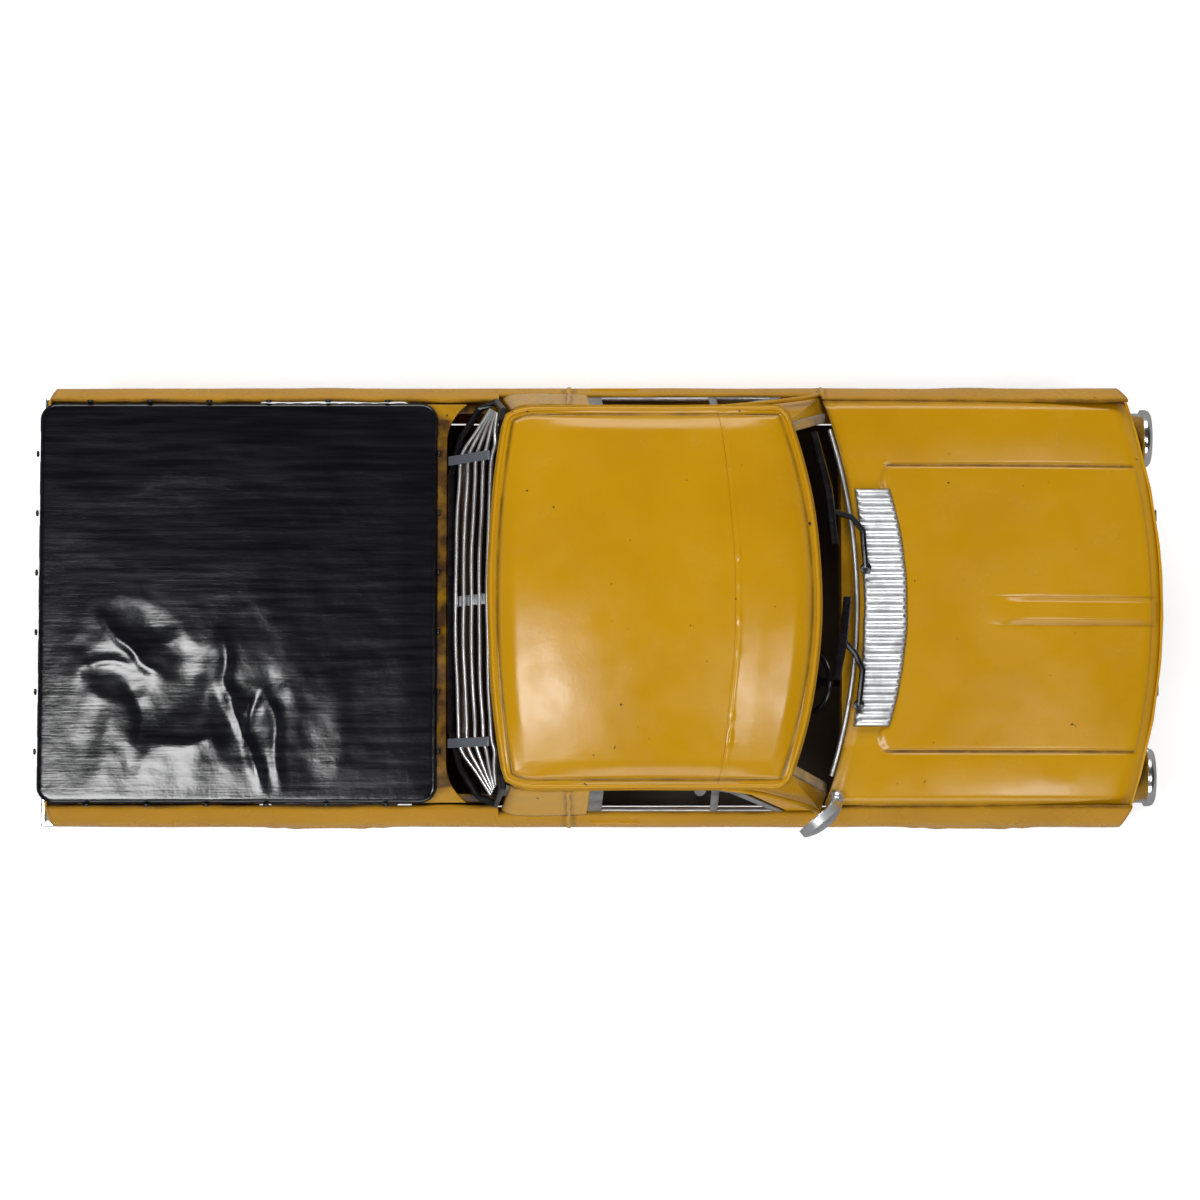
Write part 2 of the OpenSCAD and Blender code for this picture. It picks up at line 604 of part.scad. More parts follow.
// The only door mirror, on the car's right: a foot on the cowl corner, a ball and a round cup
mirror_r = 6.6;
cup_depth = 3.4;
ball_r = 1.6;
ball_at = [screen_x - 7, -shoulder_y + 2.4, hood_h + 2.6];
cup_at = [screen_x - 12.2, -belt_y - 1.4, hood_h + 6];
cup_turn = -50;
module door_mirror() color(silver) {
    translate([ball_at[0], ball_at[1], hood_h + fit / 2]) cylinder(r = ball_r - 0.2, h = 1.6, $fn = 32);
    translate(ball_at) sphere(ball_r, $fn = 32);
    wire([ball_at, (ball_at + cup_at) / 2 + [1.2, 0.4, 1], cup_at + [1.2, -1, 0]], 0.7, [0, 0, 1]);
    translate(cup_at) rotate([0, 0, cup_turn]) rotate([0, 90, 0]) rotate_extrude() difference() {
        intersection() {
            translate([0, -10]) circle(10 + cup_depth, $fn = 96);
            square([mirror_r, cup_depth + 1]);
        }
        square([mirror_r - 0.7, 0.7]);
    }
}

// ---- Nose and tail fittings ----
bars = 6;
bar_h = 1;
module grille() color(silver) intersection() {
    union() {
        for (i = [0:bars - 1]) {
            z = grille_low + fit + (grille_high - grille_low - 2 * fit - bar_h) * i / (bars - 1);
            difference() {
                nose_disc(fit, z, z + bar_h);
                nose_disc(3, z - 1, z + bar_h + 1);
            }
        }
        difference() {
            nose_disc(3, grille_low + fit, grille_high - fit);
            nose_disc(3.6, 0, roof_h);
        }
        for (y = [-grille_half + fit, -0.6, grille_half - fit - 1.2]) difference() {
            intersection() {
                nose_disc(fit, grille_low + fit, grille_high - fit);
                box([screen_x, y, 0], [front_x, y + 1.2, roof_h]);
            }
            nose_disc(3, 0, roof_h);
        }
    }
    box([screen_x, -grille_half + fit, 0], [front_x, grille_half - fit, roof_h]);
}

bezel_r = 8.4;
lamp_x = nose_x - sag(nose_r, lamp_y - bezel_r) + 0.3;
module headlight_bezels() color(silver) both() translate([lamp_x, lamp_y, light_h]) rotate([0, 90, 0])
    rotate_extrude() {
        translate([bezel_r - 2, 0]) square([2, 2]);
        translate([bezel_r - 1, 2]) intersection() {
            circle(1, $fn = 32);
            translate([-1, 0]) square([2, 1]);
        }
        translate([lamp_r - 1, -6]) square([1 - fit, 6]);
    }
module headlight_lenses() color("white") both() translate([lamp_x, lamp_y, light_h]) rotate([0, 90, 0]) {
    intersection() {
        translate([0, 0, -15]) sphere(17.4, $fn = 96);
        cylinder(r = bezel_r - 2 - fit / 2, h = 4);
    }
    translate([0, 0, -1]) cylinder(r = bezel_r - 2 - fit / 2, h = 1);
}

bumper_t = 1.6;
bumper_gap = 0.3;
return_len = 18;
bumper_out_y = half_w + 0.2;
module bumper_returns(x0, x1) both()
    box([x0, bumper_out_y - bumper_t, bumper_low], [x1, bumper_out_y, bumper_high]);
module front_bumper() color(silver) {
    corner_x = nose_x - sag(nose_r, bumper_out_y - bumper_t);
    bumper_returns(corner_x - return_len, corner_x + 0.2);
    intersection() {
        difference() {
            nose_disc(-bumper_gap - bumper_t, bumper_low, bumper_high);
            nose_disc(-bumper_gap, 0, roof_h);
        }
        box([screen_x, -bumper_out_y, 0], [front_x + 5, bumper_out_y, roof_h]);
    }
    both() intersection() {
        difference() {
            nose_disc(-bumper_gap - 0.2, bumper_low + 2, bumper_high - 2);
            nose_disc(0, 0, roof_h);
        }
        box([screen_x, 28, 0], [front_x, 33, roof_h]);
    }
}
guard_ys = [28, -23];
module bumper_guards() color(silver) for (y = guard_ys) difference() {
    translate([front_x - 6, y - 2, bumper_low - 1.5]) cube([6, 4, bumper_high - bumper_low + 4]);
    nose_disc(-bumper_gap - bumper_t, 0, roof_h);
}
module rear_bumper() color(silver) {
    box([-front_x, -bumper_out_y, bumper_low], [-front_x + bumper_t, bumper_out_y, bumper_high]);
    bumper_returns(-front_x, -front_x + return_len);
    both() box([-front_x + bumper_t, 28, bumper_low + 2], [tail_x, 33, bumper_high - 2]);
}
module tail_lights() color("firebrick") both() {
    bar_x(lamp_y, light_h, 4.5, tail_x - 1, tail_x + sheet);
    intersection() {
        translate([tail_x + 4.2, lamp_y, light_h]) sphere(7, $fn = 96);
        box([tail_x - 4, 0, 0], [tail_x - 1, half_w, roof_h]);
    }
}

// ---- Running gear ----
bracket_y = 38;
bracket_t = 1.2;
module axle_brackets() color("gray") both() for (x = [front_axle_x, rear_axle_x]) difference() {
    union() {
        box([x - 4, bracket_y - bracket_t, base_top], [x + 4, bracket_y, tyre_r]);
        bar_y(x, tyre_r, 4, bracket_y - bracket_t, bracket_y);
        box([x - 4, bracket_y - 6, base_top], [x + 4, bracket_y, base_top + sheet]);
    }
    bar_y(x, tyre_r, axle_r + running, bracket_y - 8, bracket_y + 1);
}
module axle(x) bar_y(x, tyre_r, axle_r, -track / 2 - 4, track / 2 + 4);
module front_axle() color("gray") axle(front_axle_x);
module rear_axle() color("gray") axle(rear_axle_x);

// Wheel profile, r outwards and z along the axle towards the outside, then one wheel on each side
module on_axle(x) both() translate([x, track / 2, tyre_r]) rotate([-90, 0, 0]) children();
module wheel() rotate_extrude($fn = 96) {
    half = tyre_w / 2 - 1.2;
    translate([rim_r - 1, -half]) square([1, 2 * half]);
    translate([axle_r, 0.6]) square([rim_r - axle_r - 0.5, 1]);
    translate([axle_r, -half]) square([2.4, 2 * half]);
    translate([0, 4]) intersection() {
        translate([0, -10.4]) circle(13, $fn = 96);
        square([8.2, 3]);
    }
    translate([7.2, 1.4]) square([1, 2.7]);
}
module tyre() rotate_extrude($fn = 96) {
    half = tyre_w / 2;
    shoulder = 2.6;
    difference() {
        union() {
            translate([rim_r, -half + shoulder]) square([tyre_r - rim_r, tyre_w - 2 * shoulder]);
            translate([rim_r, -half + 0.6]) square([tyre_r - rim_r - shoulder, tyre_w - 1.2]);
            for (s = [-1, 1]) translate([tyre_r - shoulder, s * (half - shoulder)])
                circle(shoulder, $fn = 48);
        }
        for (z = [-1.6, 0, 1.6]) translate([tyre_r - 0.5, z - 0.25]) square([1, 0.5]);
    }
}
module front_wheels() color(silver) on_axle(front_axle_x) wheel();
module rear_wheels() color(silver) on_axle(rear_axle_x) wheel();
module front_tyres() color(black) on_axle(front_axle_x) tyre();
module rear_tyres() color(black) on_axle(rear_axle_x) tyre();

// ---- Friction motor ----

// Involute spur gear; slack narrows the teeth, add and ded are tip height and root depth in modules
slack = 0.14;
add = 0.8;
ded = 1.15;
press_angle = 20;
function inv_deg(a) = tan(a) * 180 / PI - a;
function tooth_half(n, r) = let (rb = gear_mod * n * cos(press_angle) / 2, a = r > rb ? acos(rb / r) : 0)
    90 / n * (1 - slack) + inv_deg(press_angle) - inv_deg(a);
module gear(n, bore, turn) {
    rp = gear_mod * n / 2;
    rb = rp * cos(press_angle);
    root = rp - ded * gear_mod;
    tip = rp + add * gear_mod;
    low = max(root, rb);
    rs = concat([root], [for (k = [0:3]) low + (tip - low) * k / 3]);
    difference() {
        polygon([for (i = [0:n - 1], side = [-1, 1], k = [0:len(rs) - 1])
            let (r = side < 0 ? rs[k] : rs[len(rs) - 1 - k], a = turn + 360 * i / n + side * tooth_half(n, r))
            r * [cos(a), sin(a)]]);
        circle(bore, $fn = 48);
    }
}
// Turn of a gear of n teeth that meshes, in direction dir, with one of m teeth turned by t
function mesh(n, m, t, dir) = dir + 180 + 180 / n - (t - dir) * m / n;
first_y = -gear_w / 2;
second_y = gear_w / 2 + 2;
module place_gear(at, y) translate([at[0], 0, at[1]]) along_y(y, y + gear_w) children();
module axle_gear() color("gold") place_gear(axle_at, first_y) gear(axle_teeth, axle_r, 0);
module idler_shaft() color("gray")
    bar_y(idler_at[0], idler_at[1], shaft_r, -plate_y - plate_t, plate_y + plate_t);
module idler_gears() color("gold") {
    place_gear(idler_at, first_y) gear(pinion_teeth, shaft_r, mesh(pinion_teeth, axle_teeth, 0, idler_dir));
    place_gear(idler_at, second_y) gear(idler_teeth, shaft_r, 0);
}
module flywheel_shaft() color("gray") {
    bar_y(flywheel_at[0], flywheel_at[1], shaft_r, -plate_y - plate_t, plate_y + plate_t);
    place_gear(flywheel_at, second_y)
        gear(pinion_teeth, shaft_r / 2, mesh(pinion_teeth, idler_teeth, 0, flywheel_dir));
}
disc_r = min(flywheel_r, flywheel_gap - shaft_r - 0.4);
module flywheel() color("dimgray") translate([flywheel_at[0], first_y - 1, flywheel_at[1]]) rotate([90, 0, 0])
    rotate_extrude($fn = 96) {
        translate([shaft_r, 0]) square([3 - shaft_r, flywheel_w]);
        translate([2.5, 1.5]) square([disc_r - 4, flywheel_w - 3]);
        translate([disc_r - 3, 0]) square([3, flywheel_w]);
    }
plate_r = 4;
posts = [axle_at + [-13, 1], idler_at + [-7, 9], [flywheel_at[0] + 11, base_top + 4]];
post_r = 1.4;
module motor_plate() difference() {
    union() {
        hull() for (p = concat([axle_at, idler_at, flywheel_at], posts)) bar_y(p[0], p[1], plate_r - 0.2,
            plate_y, plate_y + plate_t, $fn = 32);
        box([rear_axle_x - 13, plate_y, base_top], [flywheel_at[0] + 11, plate_y + plate_t, base_top + 4]);
        box([rear_axle_x - 13, plate_y, base_top], [flywheel_at[0] + 11, plate_y + 5, base_top + sheet]);
    }
    box([-front_x, 0, 0], [front_x, half_w, base_top]);
    bar_y(axle_at[0], axle_at[1], axle_r + running, 0, plate_y + 9);
    for (p = [idler_at, flywheel_at]) bar_y(p[0], p[1], shaft_r + running, 0, plate_y + 9);
    for (p = posts) bar_y(p[0], p[1], post_r - 0.4, 0, plate_y + 3);
}
module motor_frame() color("darkgray") both() motor_plate();
module motor_posts() color("darkgray") for (p = posts) {
    bar_y(p[0], p[1], post_r, -plate_y, plate_y);
    bar_y(p[0], p[1], post_r - 0.4, -plate_y - plate_t, plate_y + plate_t);
}

hood_panel();
cowl_vent();
nose_panel();
side_panel_left();
side_panel_right();
roof_panel();
roof_visor();
drip_rail();
a_pillar_left();
a_pillar_right();
quarter_panel_left();
quarter_panel_right();
window_frame_left();
window_frame_right();
windscreen_trim();
windscreen_sill_wire();
rear_window_frame();
rear_window_louvre();
rear_window_straps();
deck_panel();
cab_bulkhead();
firewall();
bed_floor();
rear_panel();
tailgate();
tonneau_cover();
tonneau_studs();
door_seams();
door_handles();
side_strips();
front_base_plate();
rear_base_plate();
base_rivets();
dashboard();
steering_column();
steering_wheel();
bench_seat();
wipers();
door_mirror();
grille();
headlight_bezels();
headlight_lenses();
front_bumper();
bumper_guards();
rear_bumper();
tail_lights();
axle_brackets();
motor_frame();
motor_posts();
front_axle();
front_wheels();
front_tyres();
rear_axle();
rear_wheels();
rear_tyres();
axle_gear();
idler_shaft();
idler_gears();
flywheel_shaft();
flywheel();
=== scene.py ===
"""Looks of the friction tin car: a hand-made coupe utility in mustard enamel.

Lengths are in millimetres until a mesh is made; +X is forward, +Y the car's left, +Z up.
"""
import json
import math
import random

import bpy
import bmesh
import numpy as np
from mathutils import Matrix, Vector


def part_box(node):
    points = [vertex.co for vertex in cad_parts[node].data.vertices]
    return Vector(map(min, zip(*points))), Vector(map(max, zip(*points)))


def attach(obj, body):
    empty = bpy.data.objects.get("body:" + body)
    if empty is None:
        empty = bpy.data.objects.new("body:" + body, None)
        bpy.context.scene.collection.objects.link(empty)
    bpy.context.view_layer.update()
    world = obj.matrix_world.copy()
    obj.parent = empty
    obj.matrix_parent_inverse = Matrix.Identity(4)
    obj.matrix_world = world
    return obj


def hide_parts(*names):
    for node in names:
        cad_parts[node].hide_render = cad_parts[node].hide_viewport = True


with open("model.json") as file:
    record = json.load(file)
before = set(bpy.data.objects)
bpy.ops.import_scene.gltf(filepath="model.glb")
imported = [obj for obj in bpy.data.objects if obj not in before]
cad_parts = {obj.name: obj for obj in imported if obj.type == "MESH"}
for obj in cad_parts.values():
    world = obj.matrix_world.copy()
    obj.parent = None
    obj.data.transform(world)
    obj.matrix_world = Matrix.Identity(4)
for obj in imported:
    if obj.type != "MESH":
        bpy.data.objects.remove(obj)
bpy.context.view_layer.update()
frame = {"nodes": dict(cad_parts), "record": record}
NODES = frame["nodes"]
MM = 0.001
rng = random.Random(7)


def span(node):
    """Lowest and highest corner of a CAD node, in millimetres."""
    lo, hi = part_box(node)
    return lo / MM, hi / MM


# ---------------------------------------------------------------- driving sizes, from the frame
SHEET = 0.8
cover_lo, cover_hi = span("tonneau_cover")
_, hood_hi = span("hood_panel")
roof_lo, roof_hi = span("roof_panel")
_, visor_hi = span("roof_visor")
side_lo, side_hi = span("side_panel_left")
vent_lo, vent_hi = span("cowl_vent")
_, deck_hi = span("deck_panel")

SHOULDER_H = deck_hi.z
SHOULDER_Y = hood_hi.y
HALF_W = side_hi.y
SILL_H = side_lo.z
GUTTER_H = roof_lo.z
ROOF_H = roof_hi.z
NOSE_X = hood_hi.x
NOSE_R = 176
NOSE_C = NOSE_X - NOSE_R
HOOD_LEN = 87
SCREEN_X = NOSE_X - HOOD_LEN
SCREEN_R = 167
SCREEN_C = SCREEN_X - SCREEN_R
COWL_RISE = 2.2
HOOD_H = SHOULDER_H + COWL_RISE
HOOD_FALL = 6.4
PRESS_OFF = 1.6
GLASS_X = SCREEN_X - 115.8
ROOF_Y = roof_hi.y
BELT_H = 58
BELT_Y = HALF_W - 3.3
AXLE_Z = span("front_axle")[0].z + 1.5
FRONT_AXLE_X = span("front_axle")[0].x + 1.5
REAR_AXLE_X = span("rear_axle")[0].x + 1.5
ARCH_R = AXLE_Z + 4


# ---------------------------------------------------------------- materials
def node_tree(name):
    mat = bpy.data.materials.new(name)
    mat.use_nodes = True
    nodes = mat.node_tree.nodes
    nodes.clear()
    out = nodes.new("ShaderNodeOutputMaterial")
    bsdf = nodes.new("ShaderNodeBsdfPrincipled")
    mat.node_tree.links.new(bsdf.outputs[0], out.inputs[0])
    return mat, nodes, mat.node_tree.links, bsdf


def object_noise(nodes, links, scale, detail=4, stretch=(1, 1, 1), rough=0.55):
    """Noise in object space; scale counts waves per metre."""
    coord = nodes.new("ShaderNodeTexCoord")
    mapping = nodes.new("ShaderNodeMapping")
    mapping.inputs["Scale"].default_value = stretch
    noise = nodes.new("ShaderNodeTexNoise")
    noise.inputs["Scale"].default_value = scale
    noise.inputs["Detail"].default_value = detail
    noise.inputs["Roughness"].default_value = rough
    links.new(coord.outputs["Object"], mapping.inputs["Vector"])
    links.new(mapping.outputs[0], noise.inputs["Vector"])
    return noise.outputs["Fac"]


def ramp(nodes, links, fac, stops):
    node = nodes.new("ShaderNodeValToRGB")
    el = node.color_ramp.elements
    while len(el) < len(stops):
        el.new(0.5)
    for e, (pos, col) in zip(el, stops):
        e.position = pos
        e.color = (*col, 1) if len(col) == 3 else (col[0], col[0], col[0], 1)
    links.new(fac, node.inputs[0])
    return node.outputs[0]


def mix(nodes, links, fac, a, b, blend="MIX"):
    node = nodes.new("ShaderNodeMix")
    node.data_type = "RGBA"
    node.blend_type = blend
    for socket, value in ((node.inputs[0], fac), (node.inputs[6], a), (node.inputs[7], b)):
        if hasattr(value, "links"):
            links.new(value, socket)
        elif isinstance(value, (int, float)):
            socket.default_value = value
        else:
            socket.default_value = (*value, 1)
    return node.outputs[2]


def bump(nodes, links, bsdf, layers):
    """Chain of bumps, each (height socket, strength, distance in mm)."""
    normal = None
    for height, strength, distance in layers:
        node = nodes.new("ShaderNodeBump")
        node.inputs["Strength"].default_value = strength
        node.inputs["Distance"].default_value = distance * MM
        links.new(height, node.inputs["Height"])
        if normal:
            links.new(normal, node.inputs["Normal"])
        normal = node.outputs[0]
    links.new(normal, bsdf.inputs["Normal"])


def painted_shade_attribute(nodes):
    """How much brown painted shade lies here, darkening seams and creases: the pieces carry it as a point attribute.
    """
    attr = nodes.new("ShaderNodeAttribute")
    attr.attribute_name = "painted_shade"
    return attr.outputs["Fac"]


def enamel(name, base, dark, light, rough=0.36, coat=0.14, pits=0.5, specular=0.36):
    """Brushed enamel: soft tone changes, an orange-peel skin, a few pits, brown painted shade in the seams."""
    mat, nodes, links, bsdf = node_tree(name)
    tone = ramp(nodes, links, object_noise(nodes, links, 26, 5), [(0.3, dark), (0.5, base), (0.72, light)])
    pit = object_noise(nodes, links, 420, 1)
    pit_mask = ramp(nodes, links, pit, [(0.785, (0,)), (0.81, (1,))])
    brown = (0.045, 0.018, 0.004)
    spotted = mix(nodes, links, pit_mask, tone, brown)
    # Noise that breaks up the painted shade in the seams
    shade_amount = object_noise(nodes, links, 160, 4)
    broken = nodes.new("ShaderNodeMath")
    broken.operation = "MULTIPLY"
    links.new(painted_shade_attribute(nodes), broken.inputs[0])
    links.new(ramp(nodes, links, shade_amount, [(0.25, (0.45,)), (0.6, (1,))]), broken.inputs[1])
    links.new(mix(nodes, links, broken.outputs[0], spotted, brown), bsdf.inputs["Base Color"])
    gloss = ramp(nodes, links, object_noise(nodes, links, 90, 3), [(0.3, (rough - 0.06,)), (0.7, (rough + 0.08,))])
    links.new(gloss, bsdf.inputs["Roughness"])
    bsdf.inputs["Coat Weight"].default_value = coat
    bsdf.inputs["Coat Roughness"].default_value = 0.15
    bsdf.inputs["Specular IOR Level"].default_value = specular
    bump(nodes, links, bsdf, [
        (object_noise(nodes, links, 1150, 2), 0.16, 0.1),
        (object_noise(nodes, links, 120, 3), 0.18, 0.25),
        (pit, 0.06 * pits, 0.3),
    ])
    return mat


def black_gloss(name, rough=0.16, brushed=True, tint=(0.0028, 0.0028, 0.004)):
    """Black enamel with brush marks along the car, worn slightly blue where it is thin."""
    mat, nodes, links, bsdf = node_tree(name)
    streak = object_noise(nodes, links, 300, 5, stretch=(0.12, 1.6, 1))
    fine = object_noise(nodes, links, 900, 3, stretch=(0.1, 1.5, 1))
    lighter = tuple(c * 2.6 for c in tint)
    links.new(ramp(nodes, links, streak, [(0.35, tint), (0.75, lighter)]), bsdf.inputs["Base Color"])
    gloss = ramp(nodes, links, streak, [(0.35, (rough,)), (0.8, (rough + 0.09,))])
    links.new(gloss, bsdf.inputs["Roughness"])
    if brushed:
        bump(nodes, links, bsdf, [(fine, 0.22, 0.1), (object_noise(nodes, links, 140, 3), 0.25, 0.35)])
    return mat


def metal(name, base, rough, tarnish, scale=140, dull=0.25, metallic=1.0):
    """Plated or silvered metal with cloudy tarnish and small scratches."""
    mat, nodes, links, bsdf = node_tree(name)
    cloud = object_noise(nodes, links, scale, 5)
    tone = ramp(nodes, links, cloud, [(0.3, tarnish), (0.55, base)])
    # Painted shade: the points' shade attribute darkens the metal towards dark brown
    shade_amount = nodes.new("ShaderNodeMath")
    shade_amount.operation = "MULTIPLY"
    shade_amount.inputs[1].default_value = 0.85
    links.new(painted_shade_attribute(nodes), shade_amount.inputs[0])
    links.new(mix(nodes, links, shade_amount.outputs[0], tone, (0.03, 0.02, 0.012)), bsdf.inputs["Base Color"])
    links.new(ramp(nodes, links, cloud, [(0.3, (rough + dull,)), (0.65, (rough,))]), bsdf.inputs["Roughness"])
    bsdf.inputs["Metallic"].default_value = metallic
    bump(nodes, links, bsdf, [
        (object_noise(nodes, links, 700, 3), 0.15, 0.1),
        (object_noise(nodes, links, 1500, 2, stretch=(0.15, 1, 1)), 0.1, 0.05),
    ])
    return mat


def rubber(name):
    mat, nodes, links, bsdf = node_tree(name)
    tone = ramp(nodes, links, object_noise(nodes, links, 130, 5), [(0.3, (0.009, 0.009, 0.01)), (0.7, (0.028,) * 3)])
    links.new(tone, bsdf.inputs["Base Color"])
    links.new(ramp(nodes, links, object_noise(nodes, links, 300, 3), [(0.3, (0.55,)), (0.7, (0.75,))]),
              bsdf.inputs["Roughness"])
    bump(nodes, links, bsdf, [(object_noise(nodes, links, 1400, 3), 0.3, 0.12)])
    return mat


def lens(name, color, rough, transmission):
    mat, nodes, links, bsdf = node_tree(name)
    deep = tuple(c * 0.75 for c in color)
    links.new(ramp(nodes, links, object_noise(nodes, links, 200, 3), [(0.3, deep), (0.7, color)]),
              bsdf.inputs["Base Color"])
    bsdf.inputs["Roughness"].default_value = rough
    bsdf.inputs["Transmission Weight"].default_value = transmission
    bsdf.inputs["IOR"].default_value = 1.47
    coord = nodes.new("ShaderNodeTexCoord")
    wave = nodes.new("ShaderNodeTexWave")
    wave.bands_direction = "Y"
    wave.inputs["Scale"].default_value = 260
    links.new(coord.outputs["Object"], wave.inputs["Vector"])
    bump(nodes, links, bsdf, [(wave.outputs["Fac"], 0.25, 0.25)])
    return mat


MAT = {
    "body_paint": enamel("mustard_enamel", (0.50, 0.252, 0.003), (0.46, 0.225, 0.002), (0.53, 0.272, 0.005),
                         rough=0.21, coat=0.0),
    "silver_trim": metal("silvered", (0.72, 0.73, 0.74), 0.28, (0.42, 0.42, 0.43)),
    "chrome": metal("chrome", (0.82, 0.83, 0.84), 0.12, (0.6, 0.6, 0.6), dull=0.15),
    "black_paint": black_gloss("black_enamel", rough=0.22),
    "cover_paint": black_gloss("cover_enamel", rough=0.13),
    "grey_strap": enamel("grey_enamel", (0.11, 0.12, 0.14), (0.07, 0.08, 0.09), (0.16, 0.17, 0.19), rough=0.4),
    "base_metal": enamel("base_enamel", (0.04, 0.03, 0.02), (0.025, 0.018, 0.012), (0.06, 0.046, 0.03), rough=0.5),
    "steel": metal("plain_steel", (0.5, 0.5, 0.5), 0.32, (0.3, 0.29, 0.28)),
    "brass": metal("brass", (0.72, 0.5, 0.2), 0.3, (0.4, 0.26, 0.1)),
    "flywheel_iron": metal("turned_iron", (0.2, 0.2, 0.2), 0.38, (0.1, 0.09, 0.08)),
    "seat_paint": enamel("seat_enamel", (0.035, 0.016, 0.007), (0.022, 0.01, 0.004), (0.05, 0.024, 0.01), rough=0.5),
    "headlight_glass": lens("lamp_glass", (0.86, 0.88, 0.9), 0.06, 0.35),
    "tail_lens": lens("red_lens", (0.42, 0.012, 0.01), 0.12, 0.15),
    "tyre": rubber("tyre_rubber"),
}
# Darker and duller copy of the paint on top, for the side sheets: the darker colour is painted shade
SHADED_SIDE_PAINT = enamel("side_enamel_shaded", (0.44, 0.215, 0.002), (0.4, 0.19, 0.002), (0.48, 0.235, 0.004),
                    rough=0.24, coat=0.0, specular=0.14)


def finish_cad_nodes():
    """Give every CAD node the material of its slot in the record."""
    for entry in frame["record"]["subparts"]:
        obj = NODES[entry["node"]]
        obj.data.materials.clear()
        obj.data.materials.append(MAT[entry["material_slot"]])


finish_cad_nodes()


# ---------------------------------------------------------------- mesh tools
def smoothstep(a, b, v):
    t = np.clip((v - a) / (b - a), 0, 1)
    return t * t * (3 - 2 * t)


def arc_x(centre, radius, y):
    """Where a plan arc lies along the car at y."""
    return centre + np.sqrt(radius * radius - y * y)


def link(obj, slot, *replaced, body="body"):
    """Finish a new piece: the material of its slot, the body it rides on, and hiding the CAD nodes it stands for."""
    bpy.context.scene.collection.objects.link(obj)
    obj.data.materials.append(MAT[slot])
    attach(obj, body)
    if replaced:
        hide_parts(*replaced)
    return obj


def mesh_object(name, verts, faces, painted_shade=None, smooth=True):
    """A mesh object from points in millimetres; the optional values give how much brown painted shade each point
    carries.
    """
    mesh = bpy.data.meshes.new(name)
    mesh.from_pydata([tuple(c * MM for c in v) for v in verts], [], faces)
    if painted_shade is not None:
        layer = mesh.attributes.new("painted_shade", "FLOAT", "POINT")
        layer.data.foreach_set("value", np.asarray(painted_shade, np.float32).ravel())
    mesh.validate()
    mesh.polygons.foreach_set("use_smooth", [smooth] * len(mesh.polygons))
    return bpy.data.objects.new(name, mesh)


def thicken(obj, amount, offset=-1.0):
    mod = obj.modifiers.new("sheet", "SOLIDIFY")
    mod.thickness = amount * MM
    mod.offset = offset
    return obj


def grid(name, x, y, z, painted_shade=None, flip=False):
    """A sheet from three equal arrays of coordinates; the first index runs along the car."""
    nu, nv = x.shape
    verts = np.stack([x, y, z], -1).reshape(-1, 3)
    faces = []
    for i in range(nu - 1):
        for j in range(nv - 1):
            a = i * nv + j
            quad = (a, a + nv, a + nv + 1, a + 1)
            faces.append(quad[::-1] if flip else quad)
    return mesh_object(name, verts, faces, painted_shade)


def tube(name, points, radius, slot, *replaced, cyclic=False, body="body", resolution=4):
    """A round wire through points in millimetres, on a smooth curve."""
    curve = bpy.data.curves.new(name, "CURVE")
    curve.dimensions = "3D"
    curve.resolution_u = resolution
    curve.bevel_depth = radius * MM
    curve.bevel_resolution = 4
    curve.use_fill_caps = True
    spline = curve.splines.new("BEZIER")
    spline.bezier_points.add(len(points) - 1)
    for bez, p in zip(spline.bezier_points, points):
        bez.co = Vector(p) * MM
        bez.handle_left_type = bez.handle_right_type = "AUTO"
    spline.use_cyclic_u = cyclic
    return link(bpy.data.objects.new(name, curve), slot, *replaced, body=body)


def joined(name, parts, slot, *replaced, body="body"):
    """Join finished objects' evaluated meshes into one piece."""
    bm = bmesh.new()
    depsgraph = bpy.context.evaluated_depsgraph_get()
    for part in parts:
        bpy.context.scene.collection.objects.link(part)
    bpy.context.view_layer.update()
    for part in parts:
        mesh = bpy.data.meshes.new_from_object(part.evaluated_get(depsgraph))
        mesh.transform(part.matrix_world)
        bm.from_mesh(mesh)
        bpy.data.meshes.remove(mesh)
    for part in parts:
        bpy.data.objects.remove(part)
    mesh = bpy.data.meshes.new(name)
    bm.to_mesh(mesh)
    bm.free()
    return link(bpy.data.objects.new(name, mesh), slot, *replaced, body=body)


def box_object(lo, hi, bevel=0.3):
    """A bevelled bar between two corners."""
    bm = bmesh.new()
    bmesh.ops.create_cube(bm, size=1)
    lo, hi = Vector(lo), Vector(hi)
    for v in bm.verts:
        v.co = (lo + hi) / 2 + Vector(v.co[i] * (hi[i] - lo[i]) for i in range(3))
    bmesh.ops.bevel(bm, geom=bm.edges[:], offset=bevel, segments=3, affect="EDGES", profile=0.6)
    bmesh.ops.scale(bm, vec=(MM, MM, MM), verts=bm.verts[:])
    mesh = bpy.data.meshes.new("bar")
    bm.to_mesh(mesh)
    bm.free()
    mesh.polygons.foreach_set("use_smooth", [True] * len(mesh.polygons))
    return bpy.data.objects.new("bar", mesh)


def turned(profile, steps=64):
    """A closed turned solid about Z from (radius, height) points, in millimetres."""
    verts, faces, n = [], [], len(profile)
    for k in range(steps):
        a = 2 * math.pi * k / steps
        verts += [(r * math.cos(a), r * math.sin(a), h) for r, h in profile]
    for k in range(steps):
        for i in range(n):
            a, b = k * n + i, k * n + (i + 1) % n
            c, d = ((k + 1) % steps) * n + (i + 1) % n, ((k + 1) % steps) * n + i
            faces.append((a, d, c, b))
    return verts, faces


